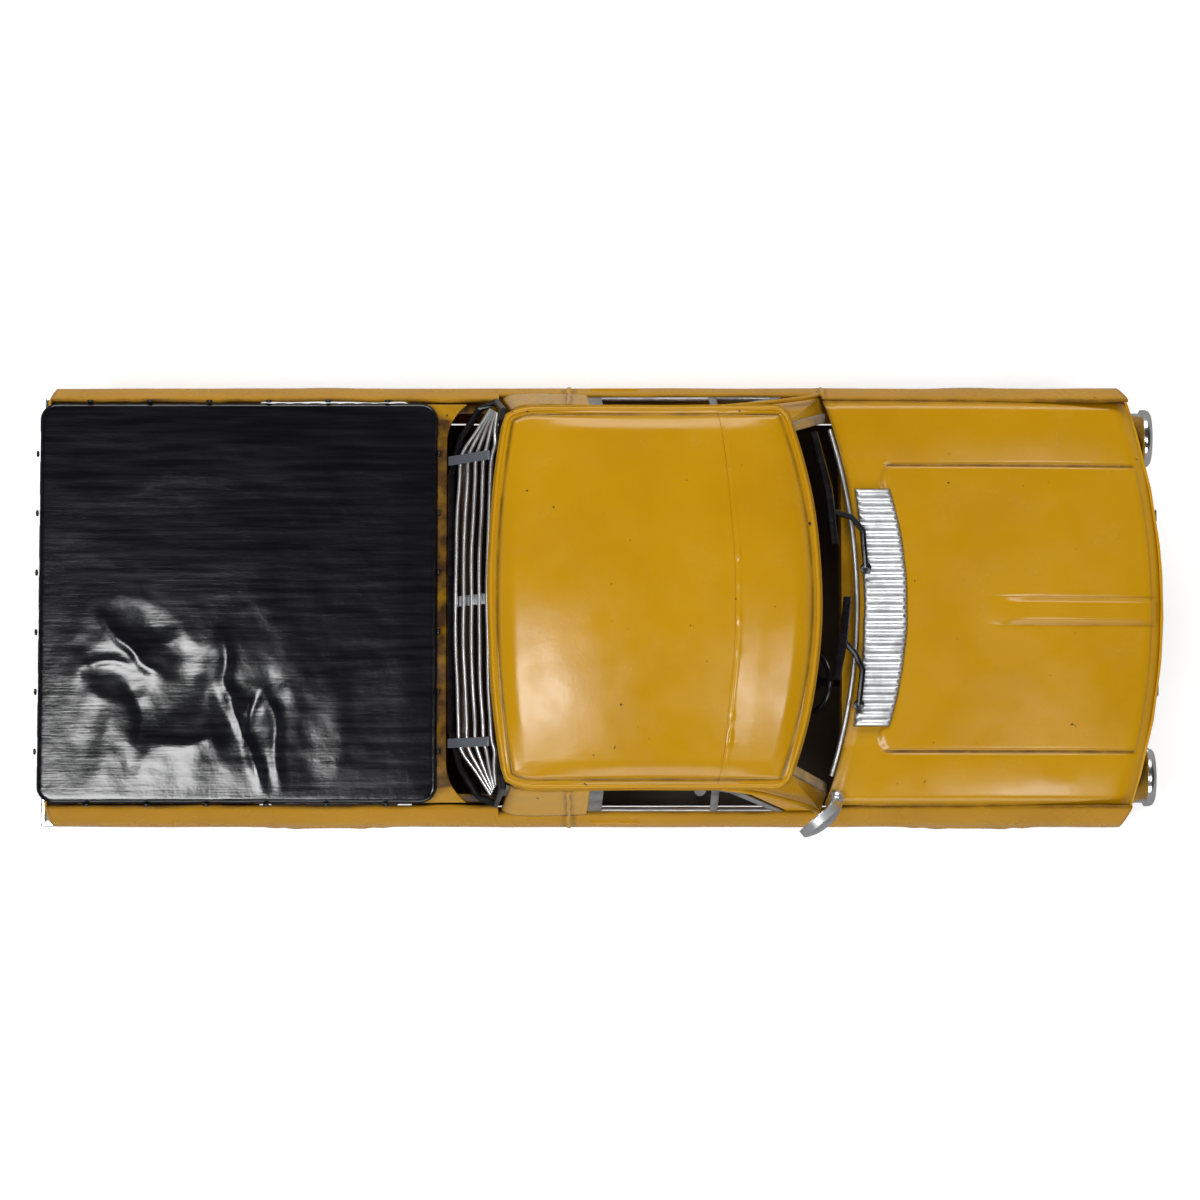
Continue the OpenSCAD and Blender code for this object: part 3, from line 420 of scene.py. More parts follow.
def turned_object(name, profile, matrix, steps=64):
    """The same as an object, moved by a matrix in millimetres; points on the axis are merged."""
    verts, faces = turned(profile, steps)
    obj = mesh_object(name, verts, faces)
    bm = bmesh.new()
    bm.from_mesh(obj.data)
    bmesh.ops.remove_doubles(bm, verts=bm.verts[:], dist=0.002 * MM)
    bmesh.ops.scale(bm, vec=(1 / MM,) * 3, verts=bm.verts[:])
    bm.transform(matrix)
    bmesh.ops.scale(bm, vec=(MM,) * 3, verts=bm.verts[:])
    bmesh.ops.recalc_face_normals(bm, faces=bm.faces[:])
    bm.to_mesh(obj.data)
    bm.free()
    obj.data.polygons.foreach_set("use_smooth", [True] * len(obj.data.polygons))
    return obj


def speckle(x, y, scale, seed):
    """Small smooth unevenness of hand-beaten sheet, about -1 to 1."""
    total = np.zeros_like(x)
    local = random.Random(seed)
    for _ in range(7):
        a = local.uniform(0, 2 * math.pi)
        k = local.uniform(0.6, 1.6) * 2 * math.pi / scale
        total += np.sin(k * (x * math.cos(a) + y * math.sin(a)) + local.uniform(0, 6.3))
    return total / 7


# ---------------------------------------------------------------- camera, floor and light
CAMERA_AT = (0, -79, 1099)
CAMERA_TO = (0, 0, 72)
CAMERA_LENS = 110.07


def aim(obj, at, to, up="Y"):
    obj.location = Vector(at) * MM
    obj.rotation_euler = (Vector(to) - Vector(at)).to_track_quat("-Z", up).to_euler()


def make_camera():
    data = bpy.data.cameras.new("camera")
    data.lens = CAMERA_LENS
    data.sensor_width = 36
    camera = bpy.data.objects.new("camera", data)
    bpy.context.scene.collection.objects.link(camera)
    aim(camera, CAMERA_AT, CAMERA_TO)
    bpy.context.scene.camera = camera


def soft_light(name, at, size, power, to=(0, 0, 50)):
    data = bpy.data.lights.new(name, "AREA")
    data.shape = "RECTANGLE"
    data.size, data.size_y = size[0] * MM, size[1] * MM
    data.energy = power
    obj = bpy.data.objects.new(name, data)
    bpy.context.scene.collection.objects.link(obj)
    aim(obj, at, to)


def make_studio():
    mat, nodes, links, bsdf = node_tree("studio_floor")
    tone = ramp(nodes, links, object_noise(nodes, links, 3, 2), [(0.3, (0.88,) * 3), (0.7, (0.9,) * 3)])
    links.new(tone, bsdf.inputs["Base Color"])
    bsdf.inputs["Roughness"].default_value = 0.9
    bsdf.inputs["Emission Color"].default_value = (1, 1, 1, 1)
    bsdf.inputs["Emission Strength"].default_value = 0.42
    size = 3000
    floor = mesh_object("floor", [(-size, -size, 0), (size, -size, 0), (size, size, 0), (-size, size, 0)],
                        [(0, 1, 2, 3)])
    floor.data.materials.append(mat)
    bpy.context.scene.collection.objects.link(floor)
    floor.visible_glossy = False
    soft_light("rear_soft", (-325, -185, 1080), (270, 280), 4.2)
    soft_light("front_soft", (400, -180, 1080), (200, 230), 1.6)
    soft_light("right_wall", (60, -950, 800), (1100, 450), 6)
    soft_light("left_wall", (0, 1100, 850), (1400, 500), 13)
    world = bpy.data.worlds.new("studio")
    world.use_nodes = True
    bpy.context.scene.world = world
    tree = world.node_tree
    background = tree.nodes["Background"]
    place = tree.nodes.new("ShaderNodeTexCoord")
    split = tree.nodes.new("ShaderNodeSeparateXYZ")
    tree.links.new(place.outputs["Generated"], split.inputs[0])
    shade = ramp(tree.nodes, tree.links, split.outputs["Z"], [(0.30, (0.32,) * 3), (0.52, (0.03,) * 3)])
    tree.links.new(shade, background.inputs[0])
    background.inputs[1].default_value = 1
    bpy.context.scene.view_settings.view_transform = "Standard"


make_camera()
make_studio()


# ---------------------------------------------------------------- hood, cowl vent and nose
PANEL_HALF = 40.6
PRESS_H = 0.7
SIDE_ROLL = 3.0
BLISTER_Y = -PRESS_OFF - 0.8
BLISTER_HALF = 3.5
LIP = 6.0


def hood_base(x):
    """Height of the hood along the middle, before pressing."""
    return HOOD_H - HOOD_FALL * np.clip((x - SCREEN_X) / HOOD_LEN, 0, 2) ** 2.6


def hood_height(x, y):
    """Height and brown painted shade of the pressed hood."""
    front = arc_x(NOSE_C, NOSE_R, y) - x
    back = x - arc_x(SCREEN_C, SCREEN_R, y)
    z = hood_base(x)
    yc = y + PRESS_OFF
    inside = smoothstep(PANEL_HALF + 0.5, PANEL_HALF - 0.5, np.abs(yc))
    rear_line = back - 12.1 + 2.6 * smoothstep(20, 38, np.abs(yc))
    rear_line = rear_line - 0.7 * np.clip(np.abs(yc) - PANEL_HALF + 4, 0, None)
    inside = inside * smoothstep(-0.5, 0.5, rear_line) * smoothstep(3.2, 4.2, front)
    z = z + PRESS_H * inside
    line_y = np.exp(-((np.abs(yc) - PANEL_HALF) / 0.75) ** 2) * smoothstep(-0.4, 0.4, rear_line)
    line_y = line_y * smoothstep(3.0, 4.5, front)
    line_x = np.exp(-(rear_line / 0.6) ** 2) * smoothstep(PANEL_HALF + 0.4, PANEL_HALF - 0.4, np.abs(yc))
    crease = np.maximum(line_y, 0.45 * line_x)
    z = z - 0.42 * crease
    # blister: a narrow spear that rises out of the panel and runs to the lip
    grow = smoothstep(SCREEN_X + 35, SCREEN_X + 48, x) * smoothstep(1.2, 3.5, front)
    across = np.abs(y - BLISTER_Y)
    spear = smoothstep(BLISTER_HALF + 0.6, BLISTER_HALF - 1.4, across) * grow
    z = z + 0.85 * spear
    foot = np.exp(-((across - BLISTER_HALF - 0.5) / 0.35) ** 2) * grow
    z = z - 0.12 * foot
    # fender tops swell, then roll over at the side
    fender = np.clip((np.abs(y) - PANEL_HALF) / (SHOULDER_Y - PANEL_HALF), 0, 1)
    z = z + 0.45 * np.sin(math.pi * fender) * smoothstep(0, 8, front)
    edge = np.clip(SHOULDER_Y - np.abs(y), 0, None)
    z = z - 1.5 * np.clip(1 - edge / SIDE_ROLL, 0, 1) ** 2
    # front lip
    z = z - 4.2 * (1 - np.sqrt(1 - np.clip(1 - front / LIP, 0, 1) ** 2))
    # cowl rises a little into the windscreen
    z = z + 0.5 * smoothstep(3.5, 0, back)
    z = z + 0.16 * speckle(x, y, 60, 3) + 0.05 * speckle(x, y, 17, 5)
    # Painted shade: brown darkening in the pressed grooves, at the blister's foot, along the rolled side edges and at
    # the cowl joint
    rim = np.exp(-(edge / 0.8) ** 2) * (0.6 + 0.4 * speckle(x, y, 26, 9))
    painted_shade = 0.9 * line_y ** 3 + 0.28 * line_x ** 2 + 0.3 * foot + np.clip(rim, 0, 1)
    painted_shade = painted_shade + 0.5 * np.exp(-((back - 0.2) / 0.7) ** 2)
    return z, np.clip(painted_shade, 0, 1)


def uneven(n, dense, width):
    """n values from 0 to 1, packed more closely around the given places."""
    t = np.linspace(0, 1, 4001)
    weight = np.ones_like(t)
    for d in dense:
        weight += 5 * np.exp(-((t - d) / width) ** 2)
    total = np.concatenate([[0], np.cumsum((weight[1:] + weight[:-1]) / 2)])
    return np.interp(np.linspace(0, total[-1], n), total, t)


def make_hood():
    places = [(y + SHOULDER_Y) / (2 * SHOULDER_Y) for y in (
        -PRESS_OFF - PANEL_HALF, -PRESS_OFF + PANEL_HALF, BLISTER_Y - BLISTER_HALF, BLISTER_Y + BLISTER_HALF,
        -SHOULDER_Y + 1, SHOULDER_Y - 1)]
    v = uneven(170, places, 0.012) * 2 * SHOULDER_Y - SHOULDER_Y
    u = uneven(120, [0.0, 0.07, 0.95, 1.0], 0.03)
    uu, yy = np.meshgrid(u, v, indexing="ij")
    yy = yy + np.where(np.abs(yy) > SHOULDER_Y - 2, 0.25 * speckle(uu * 88, yy * 0, 21, 4), 0)
    yy = np.clip(yy, -SHOULDER_Y, SHOULDER_Y)
    x0 = arc_x(SCREEN_C, SCREEN_R, yy)
    x1 = arc_x(NOSE_C, NOSE_R, yy) - 0.3 - np.abs(0.25 * speckle(yy * 0, yy, 33, 12))
    xx = x0 + (x1 - x0) * uu
    zz, painted_shade = hood_height(xx, yy)
    obj = thicken(grid("hood", xx, yy, zz, painted_shade), SHEET)
    link(obj, "body_paint", "hood_panel")


VENT_RIBS = 29
RIB_H = 0.9


def make_vent():
    """Corrugated cowl vent: each rib is a rounded bar whose ends are pinched shut."""
    half = (vent_hi.y - vent_lo.y) / 2
    centre = (vent_hi.y + vent_lo.y) / 2
    n_across, n_along = VENT_RIBS * 10 + 1, 22
    u = np.linspace(0, 1, n_along)
    v = np.linspace(-half, half, n_across)
    uu, yy = np.meshgrid(u, v, indexing="ij")
    rear_c, rear_r, front_r = SCREEN_X + 1.1 - 196, 196, 207.6
    x0 = rear_c + np.sqrt(rear_r ** 2 - (yy + centre) ** 2)
    x1 = rear_c + np.sqrt(front_r ** 2 - (yy + centre) ** 2) + 0.6 - 2.2 * (yy / half) ** 2
    wobble = 0.22 * speckle(yy, yy * 0, 9, 21)
    xx = x0 + (x1 - x0) * uu + wobble * (uu - 0.5) * 2
    phase = (yy + half) / (2 * half) * VENT_RIBS
    rib = np.abs(np.sin(math.pi * phase)) ** 0.75
    pinch = smoothstep(0, 0.09, uu) * smoothstep(1, 0.91, uu)
    zz = vent_lo.z + 0.35 + RIB_H * rib * (0.3 + 0.7 * pinch) + 0.08 * speckle(xx, yy, 7, 8)
    # Painted shade between the ribs and at their pinched ends
    painted_shade = np.clip((1 - rib) ** 3 * 0.75 + 0.35 * (1 - pinch) * (1 - rib), 0, 1)
    obj = thicken(grid("ribbed_vent", xx, yy + centre, zz, painted_shade), 0.45)
    link(obj, "silver_trim", "cowl_vent")


# ---------------------------------------------------------------- roof, visor and drip rail
ROOF_X0 = roof_lo.x
ROOF_X1 = visor_hi.x
ROOF_MID = (ROOF_X0 + ROOF_X1) / 2
ROOF_CORNER = 13
DOME_R = 285
FRONT_BOW, REAR_BOW = 150, 290
SEAM_X = SCREEN_X - 35.6
SEAM_R = 290


def roof_inset(x, y):
    """How far a place lies inside the roof's outline."""
    x0, x1, c = ROOF_X0 - 1, ROOF_X1 + 1, ROOF_CORNER
    qx = np.maximum(np.abs(x - (x0 + x1) / 2) - (x1 - x0) / 2 + c, 0)
    qy = np.maximum(np.abs(y) - ROOF_Y + c, 0)
    sharp = np.maximum(np.abs(x - (x0 + x1) / 2) - (x1 - x0) / 2, np.abs(y) - ROOF_Y)
    rounded = np.where((qx > 0) & (qy > 0), np.hypot(qx, qy) - c, sharp)
    front = np.hypot(x - (ROOF_X1 - FRONT_BOW), y) - FRONT_BOW
    rear = np.hypot(x - (ROOF_X0 + REAR_BOW), y) - REAR_BOW
    return -np.maximum(np.maximum(rounded, front), rear)


def roof_ends(y, inset=0.0):
    """Rear and front edge of the roof at y, found on the outline by halving."""
    out = []
    for side in (-1, 1):
        near = np.full_like(y, ROOF_MID)
        far = np.full_like(y, ROOF_MID + side * 60)
        for _ in range(40):
            mid = (near + far) / 2
            keep = roof_inset(mid, y) > inset
            near, far = np.where(keep, mid, near), np.where(keep, far, mid)
        out.append(near)
    return out


def roof_height(x, y):
    dome = ROOF_H - (DOME_R - np.sqrt(DOME_R ** 2 - (x - ROOF_MID) ** 2 - y ** 2))
    d = np.clip(roof_inset(x, y), 0, None)
    roll = np.clip(1 - d / 7, 0, 1) ** 2
    edge_z = GUTTER_H + 0.5
    groove = np.exp(-((d - 1.9) / 0.45) ** 2)
    z = dome * (1 - roll) + edge_z * roll - 0.35 * groove
    z = z + (0.14 * speckle(x, y, 48, 31) + 0.05 * speckle(x, y, 15, 32)) * (1 - roll)
    # Painted shade in the groove inside the rolled edge
    painted_shade = 0.95 * np.exp(-((d - 1.7) / 0.45) ** 2) * (0.75 + 0.25 * speckle(x, y, 12, 33))
    return z, np.clip(painted_shade, 0, 1)


def roof_rows():
    half = ROOF_Y - 0.25
    s = np.linspace(-1, 1, 131)
    return half * np.sin(s * math.pi / 2 * 0.985) / math.sin(math.pi / 2 * 0.985)


def make_roof():
    y = roof_rows()
    rear, front = roof_ends(y, 0.15)
    seam = SEAM_X - SEAM_R + np.sqrt(SEAM_R ** 2 - y ** 2) + 0.35 * speckle(y, y * 0, 30, 41)
    seam = np.minimum(seam, front - 1)
    u = uneven(90, [0, 0.04, 1], 0.03)
    uu, yy = np.meshgrid(u, y, indexing="ij")
    xx = rear + (seam - rear) * uu
    zz, painted_shade = roof_height(xx, yy)
    # Painted shade along the lap where the visor meets the roof
    lap = np.exp(-((seam - xx) / 0.55) ** 2) * np.clip(0.55 + 0.6 * speckle(yy, yy * 0, 22, 42), 0, 1)
    roof = thicken(grid("roof", xx, yy, zz, np.clip(painted_shade + lap, 0, 1)), SHEET)
    link(roof, "body_paint", "roof_panel")

    u = uneven(60, [0, 1], 0.05)
    uu, yy = np.meshgrid(u, y, indexing="ij")
    xx = (seam - 0.5) + (front - seam + 0.5) * uu
    zz, painted_shade = roof_height(xx, yy)
    step = 0.34 * smoothstep(7, 0, xx - seam) * smoothstep(0, 2.2, roof_inset(xx, yy))
    lip = np.exp(-((xx - seam - 0.6) / 0.5) ** 2)
    blobs = np.zeros_like(xx)
    for _ in range(9):
        by = rng.uniform(-44, 44)
        blobs += np.exp(-((yy - by) ** 2 + (xx - seam - 0.5) ** 2) / 0.45) * rng.uniform(0.2, 0.5)
    visor = thicken(grid("visor", xx, yy, zz + step + 0.12 * lip + blobs, np.clip(painted_shade, 0, 1)), SHEET)
    link(visor, "body_paint", "roof_visor")


def outline_point(angle, inset):
    """A place on the roof's outline in a direction from its middle."""
    near, far = 0.0, 90.0
    c, s = math.cos(angle), math.sin(angle)
    for _ in range(36):
        mid = (near + far) / 2
        if roof_inset(np.float64(ROOF_MID + mid * c), np.float64(mid * s)) > inset:
            near = mid
        else:
            far = mid
    return ROOF_MID + near * c, near * s


def leg(side, rise=0.0):
    """Route of the drip rail down one windscreen pillar."""
    drops = [(-40, 0.6, 0), (-30, 1.0, -3.5), (-21, 1.1, -10.5), (-14, 1.1, -18), (-11.5, 1.1, -23.5)]
    lean = (BELT_Y - ROOF_Y) / (GUTTER_H - BELT_H)
    return [(SCREEN_X + dx, side * (ROOF_Y - lean * dz + out), GUTTER_H - 0.6 + dz + rise)
            for dx, out, dz in drops]


def make_drip_rail():
    """A rolled bead round the roof, a flat gutter below it and a leg down each pillar."""
    steps = 120
    bead, gutter_in, gutter_out = [], [], []
    for k in range(steps):
        a = 2 * math.pi * k / steps
        wob = 0.12 * math.sin(7 * a) * math.sin(3 * a + 1)
        for rows, inset, z in ((bead, 0.0 + wob, GUTTER_H + 0.45), (gutter_in, 0.6, GUTTER_H - 0.3),
                               (gutter_out, -1.15 + wob, GUTTER_H - 0.75)):
            x, y = outline_point(a, inset)
            rows.append((x, y, z))
    tube("roof_bead", bead, 0.62, "body_paint", "drip_rail", cyclic=True, resolution=2)
    verts = gutter_in + gutter_out
    faces = [(k, (k + 1) % steps, steps + (k + 1) % steps, steps + k) for k in range(steps)]
    # Painted shade, heavy along the inner edge of the gutter
    painted_shade = [0.9] * steps + [0.1] * steps
    link(thicken(mesh_object("gutter", verts, faces, painted_shade), 0.5, 0), "body_paint", "drip_rail")
    for side, name in ((1, "gutter_leg_left"), (-1, "gutter_leg_right")):
        tube(name, leg(side), 0.65, "body_paint", "drip_rail")


make_hood()
make_vent()
make_roof()
make_drip_rail()


# ---------------------------------------------------------------- tonneau cover
COVER_R = 5
COVER_ROLL = 1.5
# Dents beaten into the cover: place along and across, half sizes, turn in degrees, depth
DENTS = [
    (-119, -26, 15, 11, 25, 1.15),
    (-137, -20, 8, 6, -20, 0.8),
    (-127, -8, 10, 5, -35, 0.55),
    (-98, -34, 9, 17, 12, 1.0),
    (-84, -42, 8, 15, -8, 0.7),
    (-112, 27, 26, 12, 6, 0.3),
    (-140, 40, 12, 8, 15, 0.3),
    (-70, 12, 20, 26, 0, 0.35),
    (-150, -38, 8, 14, 0, 0.45),
    (-66, -30, 12, 16, 20, 0.3),
]
# Creases: places along their run, half width, height (below zero for a furrow)
CREASES = [
    ([(-141, -4), (-138, -9), (-132, -13), (-130, -18), (-124, -20)], 1.5, 0.75),
    ([(-146, -18), (-138, -16), (-131, -19)], 1.3, 0.5),
    ([(-133, -24), (-129, -32), (-130, -40)], 2.2, -0.45),
    ([(-107, -9), (-105, -16), (-107, -24), (-101, -28)], 1.8, 0.8),
    ([(-105, -27), (-101, -36), (-97, -46), (-95, -55)], 1.5, 0.85),
    ([(-96, -25), (-91, -33), (-92, -42), (-90, -54)], 1.6, 0.65),
    ([(-96, -25), (-99, -31), (-100, -40)], 1.2, -0.5),
    ([(-125, -40), (-116, -41), (-108, -38)], 2.4, 0.4),
    ([(-134, 33), (-118, 37), (-100, 34)], 4.5, 0.12),
]


def rounded_run(run):
    """The same bent line with its corners cut twice."""
    for _ in range(2):
        cut = [run[0]]
        for (ax, ay), (bx, by) in zip(run, run[1:]):
            cut += [(ax * 0.75 + bx * 0.25, ay * 0.75 + by * 0.25), (ax * 0.25 + bx * 0.75, ay * 0.25 + by * 0.75)]
        run = cut + [run[-1]]
    return run


def run_distance(x, y, run):
    """Distance to a bent line, and how far along it, from 0 to 1."""
    run = rounded_run(run)
    best = np.full_like(x, 1e9)
    along = np.zeros_like(x)
    n = len(run) - 1
    for i, ((ax, ay), (bx, by)) in enumerate(zip(run, run[1:])):
        dx, dy = bx - ax, by - ay
        t = np.clip(((x - ax) * dx + (y - ay) * dy) / (dx * dx + dy * dy), 0, 1)
        d = np.hypot(x - ax - t * dx, y - ay - t * dy)
        along = np.where(d < best, (i + t) / n, along)
        best = np.minimum(best, d)
    return best, along


def cover_dents(x, y):
    beaten = smoothstep(-62, -92, x) * smoothstep(14, -8, y)
    z = 0.10 * speckle(x, y, 34, 51) + 0.2 * speckle(x, y, 85, 52) + 0.02 * speckle(x, y, 9, 53)
    z = z + beaten * (0.16 * speckle(x, y, 19, 54) + 0.05 * speckle(x, y, 8, 55))
    z = z + 0.5 * (1 - ((x + 92) / 72) ** 2) * (1 - ((y - 4) / 64) ** 2)
    for cx, cy, rx, ry, turn, depth in DENTS:
        a = math.radians(turn)
        u = (x - cx) * math.cos(a) + (y - cy) * math.sin(a)
        v = -(x - cx) * math.sin(a) + (y - cy) * math.cos(a)
        q = (u / rx) ** 2 + (v / ry) ** 2
        z = z - 0.5 * depth * np.exp(-q * 1.1) + 0.1 * depth * np.exp(-((np.sqrt(q) - 1.35) / 0.3) ** 2)
    for run, width, height in CREASES:
        d, along = run_distance(x, y, run)
        taper = np.sin(math.pi * np.clip(0.08 + 0.84 * along, 0, 1)) ** 0.6
        z = z + 0.7 * height * taper * (0.6 * np.exp(-(d / width) ** 2) + 0.4 * np.exp(-(d / (2.2 * width))))
    return z


def cover_inset(x, y):
    cx, cy = (cover_lo.x + cover_hi.x) / 2, 0
    hx, hy = (cover_hi.x - cover_lo.x) / 2, cover_hi.y
    qx, qy = np.abs(x - cx) - hx + COVER_R, np.abs(y - cy) - hy + COVER_R
    return COVER_R - np.hypot(np.maximum(qx, 0), np.maximum(qy, 0)) - np.minimum(np.maximum(qx, qy), 0)


def make_cover():
    """Dented top, rolled edge and a short skirt, one sheet."""
    top = cover_hi.z - 1.5
    n = 150
    xs = np.linspace(cover_lo.x + 0.3, cover_hi.x - 0.3, n)
    s = np.linspace(-1, 1, n)
    xx, vv = np.meshgrid(xs, s, indexing="ij")
    from_end = np.minimum(xx - cover_lo.x, cover_hi.x - xx)
    inside = np.clip(COVER_R - from_end, 0, None)
    half = cover_hi.y - 0.3 - (COVER_R - np.sqrt(np.clip(COVER_R ** 2 - inside ** 2, 0, None)))
    yy = vv * half
    d = np.clip(cover_inset(xx, yy), 0, None)
    roll = np.clip(1 - d / COVER_ROLL, 0, 1)
    hold = smoothstep(0.2, 12, d)
    zz = top - 0.9 * (1 - np.sqrt(1 - roll ** 2 * 0.98)) + np.clip(cover_dents(xx, yy), -2.6, 2.4) * hold
    painted_shade = np.zeros_like(xx)
    obj = grid("cover", xx, yy, zz, painted_shade)
    bm = bmesh.new()
    bm.from_mesh(obj.data)
    rim = [e for e in bm.edges if e.is_boundary]
    made = bmesh.ops.extrude_edge_only(bm, edges=rim)
    foot = SHOULDER_H + 0.05
    for v in made["geom"]:
        if isinstance(v, bmesh.types.BMVert):
            x, y = v.co.x / MM, v.co.y / MM
            ripple = 0.25 * math.sin(x * 0.5) * math.sin(y * 0.37 + 1) + 0.12 * math.sin(x * 1.3 + y)
            out = 0.25 + ripple
            cx = (cover_lo.x + cover_hi.x) / 2
            v.co.x += math.copysign(min(abs(out), 0.28), x - cx) * MM * (1 if abs(y) < cover_hi.y - 4 else 0)
            v.co.y += math.copysign(min(abs(out), 0.28), y) * MM * (1 if abs(y) > cover_hi.y - 4 else 0)
            v.co.z = foot * MM
    bmesh.ops.recalc_face_normals(bm, faces=bm.faces[:])
    bm.to_mesh(obj.data)
    bm.free()
    obj.data.polygons.foreach_set("use_smooth", [True] * len(obj.data.polygons))
    link(thicken(obj, 0.6), "cover_paint", "tonneau_cover")


make_cover()


# ---------------------------------------------------------------- body sides
SIDE_Z = np.array([SILL_H, SILL_H + 7, 36, 47, SHOULDER_H - 10, SHOULDER_H])
SIDE_OUT = np.array([HALF_W - 6, HALF_W - 2.5, HALF_W - 0.7, HALF_W, HALF_W - 0.9, SHOULDER_Y])
QUARTER_X = GLASS_X + 14.5
POST_X = SCREEN_X - 77.3
FIN_X = SCREEN_X - 82.4


def side_y(z):
    """Outside of the body side at a height: the straight outline with its corners eased."""
    total = 0
    for k, w in ((-2.2, 0.2), (-1.1, 0.25), (0, 0.1), (1.1, 0.25), (2.2, 0.2)):
        total = total + w * np.interp(z + k * np.clip((SHOULDER_H - z) / 4, 0, 1), SIDE_Z, SIDE_OUT)
    return total


def make_side(name, side, node):
    """Side sheet from nose to tail with both wheel arches, their rolled lips and the window cut."""
    x_cut0, x_cut1 = QUARTER_X - 1.5, SCREEN_X - 9.6
    marks = [FRONT_AXLE_X - ARCH_R, FRONT_AXLE_X + ARCH_R, REAR_AXLE_X - ARCH_R, REAR_AXLE_X + ARCH_R]
    x_lo, x_hi = side_lo.x, NOSE_X - 10.2
    places = [(m - x_lo) / (x_hi - x_lo) for m in marks]
    xs = x_lo + (x_hi - x_lo) * uneven(330, places, 0.012)
    xs = np.sort(np.concatenate([xs, [x_cut0 - 0.05, x_cut0 + 0.05, x_cut1 - 0.05, x_cut1 + 0.05]]))
    top = np.where((xs > x_cut0) & (xs < x_cut1), BELT_H, SHOULDER_H - 0.2)
    foot = np.full_like(xs, SILL_H)
    for axle in (FRONT_AXLE_X, REAR_AXLE_X):
        inside = np.clip(ARCH_R ** 2 - (xs - axle) ** 2, 0, None)
        foot = np.maximum(foot, np.where(inside > 0, AXLE_Z + np.sqrt(inside), 0))
    t = uneven(46, [0.0, 1.0], 0.05)
    xx = np.repeat(xs[:, None], t.size, 1)
    zz = foot[:, None] + (top - foot)[:, None] * t
    yy = side_y(zz)
    nose = arc_x(NOSE_C, NOSE_R, yy) - 0.5
    xx = np.where(xx > 120, 120 + (xx - 120) * (nose - 120) / (x_hi - 120), xx)
    lip = np.exp(-((zz - foot[:, None]) / 0.9) ** 2) * (foot[:, None] > SILL_H + 0.5)
    yy = yy + 0.55 * lip
    yy = yy + 0.14 * speckle(xx, zz, 46, 61) + 0.05 * speckle(xx, zz, 13, 62)
    from_top = top[:, None] - zz
    yy = yy - 0.35 * np.exp(-(from_top / 0.8) ** 2) * (1 + 0.8 * speckle(xx, zz * 0, 17, 63))
    # Painted shade under the top edge, along the arch lips and beside the door seams
    painted_shade = np.exp(-(from_top / 0.7) ** 2) * (0.55 + 0.45 * speckle(xx, zz * 0, 22, 64))
    painted_shade = painted_shade + 0.75 * np.exp(-((zz - foot[:, None]) / 0.8) ** 2) * (0.6 + 0.4 * speckle(xx, zz, 14, 65))
    for seam in (FIN_X, SCREEN_X - 10):
        painted_shade = painted_shade + 0.8 * np.exp(-((np.abs(xx - seam) - 1.0) / 0.45) ** 2)
    # pressed outline of the wheel house, and a long crease under the door handle
    for axle in (FRONT_AXLE_X, REAR_AXLE_X):
        ring = np.hypot(xx - axle, zz - AXLE_Z) - ARCH_R - 3
        yy = yy + 0.35 * np.exp(-(ring / 1.2) ** 2) * (zz > AXLE_Z - 2)
    yy = yy + 0.3 * np.exp(-((zz - 41) / 1.1) ** 2)
    obj = grid(name, xx, side * yy, zz, np.clip(painted_shade, 0, 1), flip=side < 0)
    link(thicken(obj, SHEET), "body_paint", node)
    # The side sheets take the darker paint: painted shade on the sides
    obj.data.materials[0] = SHADED_SIDE_PAINT


def cab_side_y(z):
    """The cab leans in from the belt to the drip rail."""
    return BELT_Y + (ROOF_Y - BELT_Y) * (z - BELT_H) / (GUTTER_H - BELT_H)


def make_quarter(name, side, node):
    """Cab sheet behind the side window, crowned and rolled in at its rear edge."""
    s = np.linspace(0, 1, 30)
    z = BELT_H - 0.3 + (GUTTER_H - 1.4 - BELT_H + 0.3) * s
    v = np.linspace(0, 1, 34)
    vv, ss = np.meshgrid(v, s, indexing="ij")
    zz = np.broadcast_to(z, vv.shape)
    rear = QUARTER_X + 3.4 * ss
    front = POST_X + 1.0 * ss
    xx = rear + (front - rear) * vv
    roll = 1.2 * np.clip(1 - vv / 0.16, 0, 1) ** 2
    yy = cab_side_y(zz) - roll + 0.35 * np.sin(math.pi * vv) + 0.15 * speckle(xx, zz, 12, 71)
    # Painted shade beside the seam fin, at the rolled edge, along the belt and under the gutter
    painted_shade = 0.8 * np.exp(-((xx - FIN_X) / 1.2) ** 2) + 0.6 * np.exp(-(vv / 0.06) ** 2)
    painted_shade = painted_shade + 0.6 * np.exp(-((zz - BELT_H) / 0.8) ** 2) + 0.5 * np.exp(-((GUTTER_H - 1.4 - zz) / 0.7) ** 2)
    obj = grid(name, xx, side * yy, zz, np.clip(painted_shade, 0, 1), flip=side < 0)
    link(thicken(obj, SHEET), "body_paint", node)


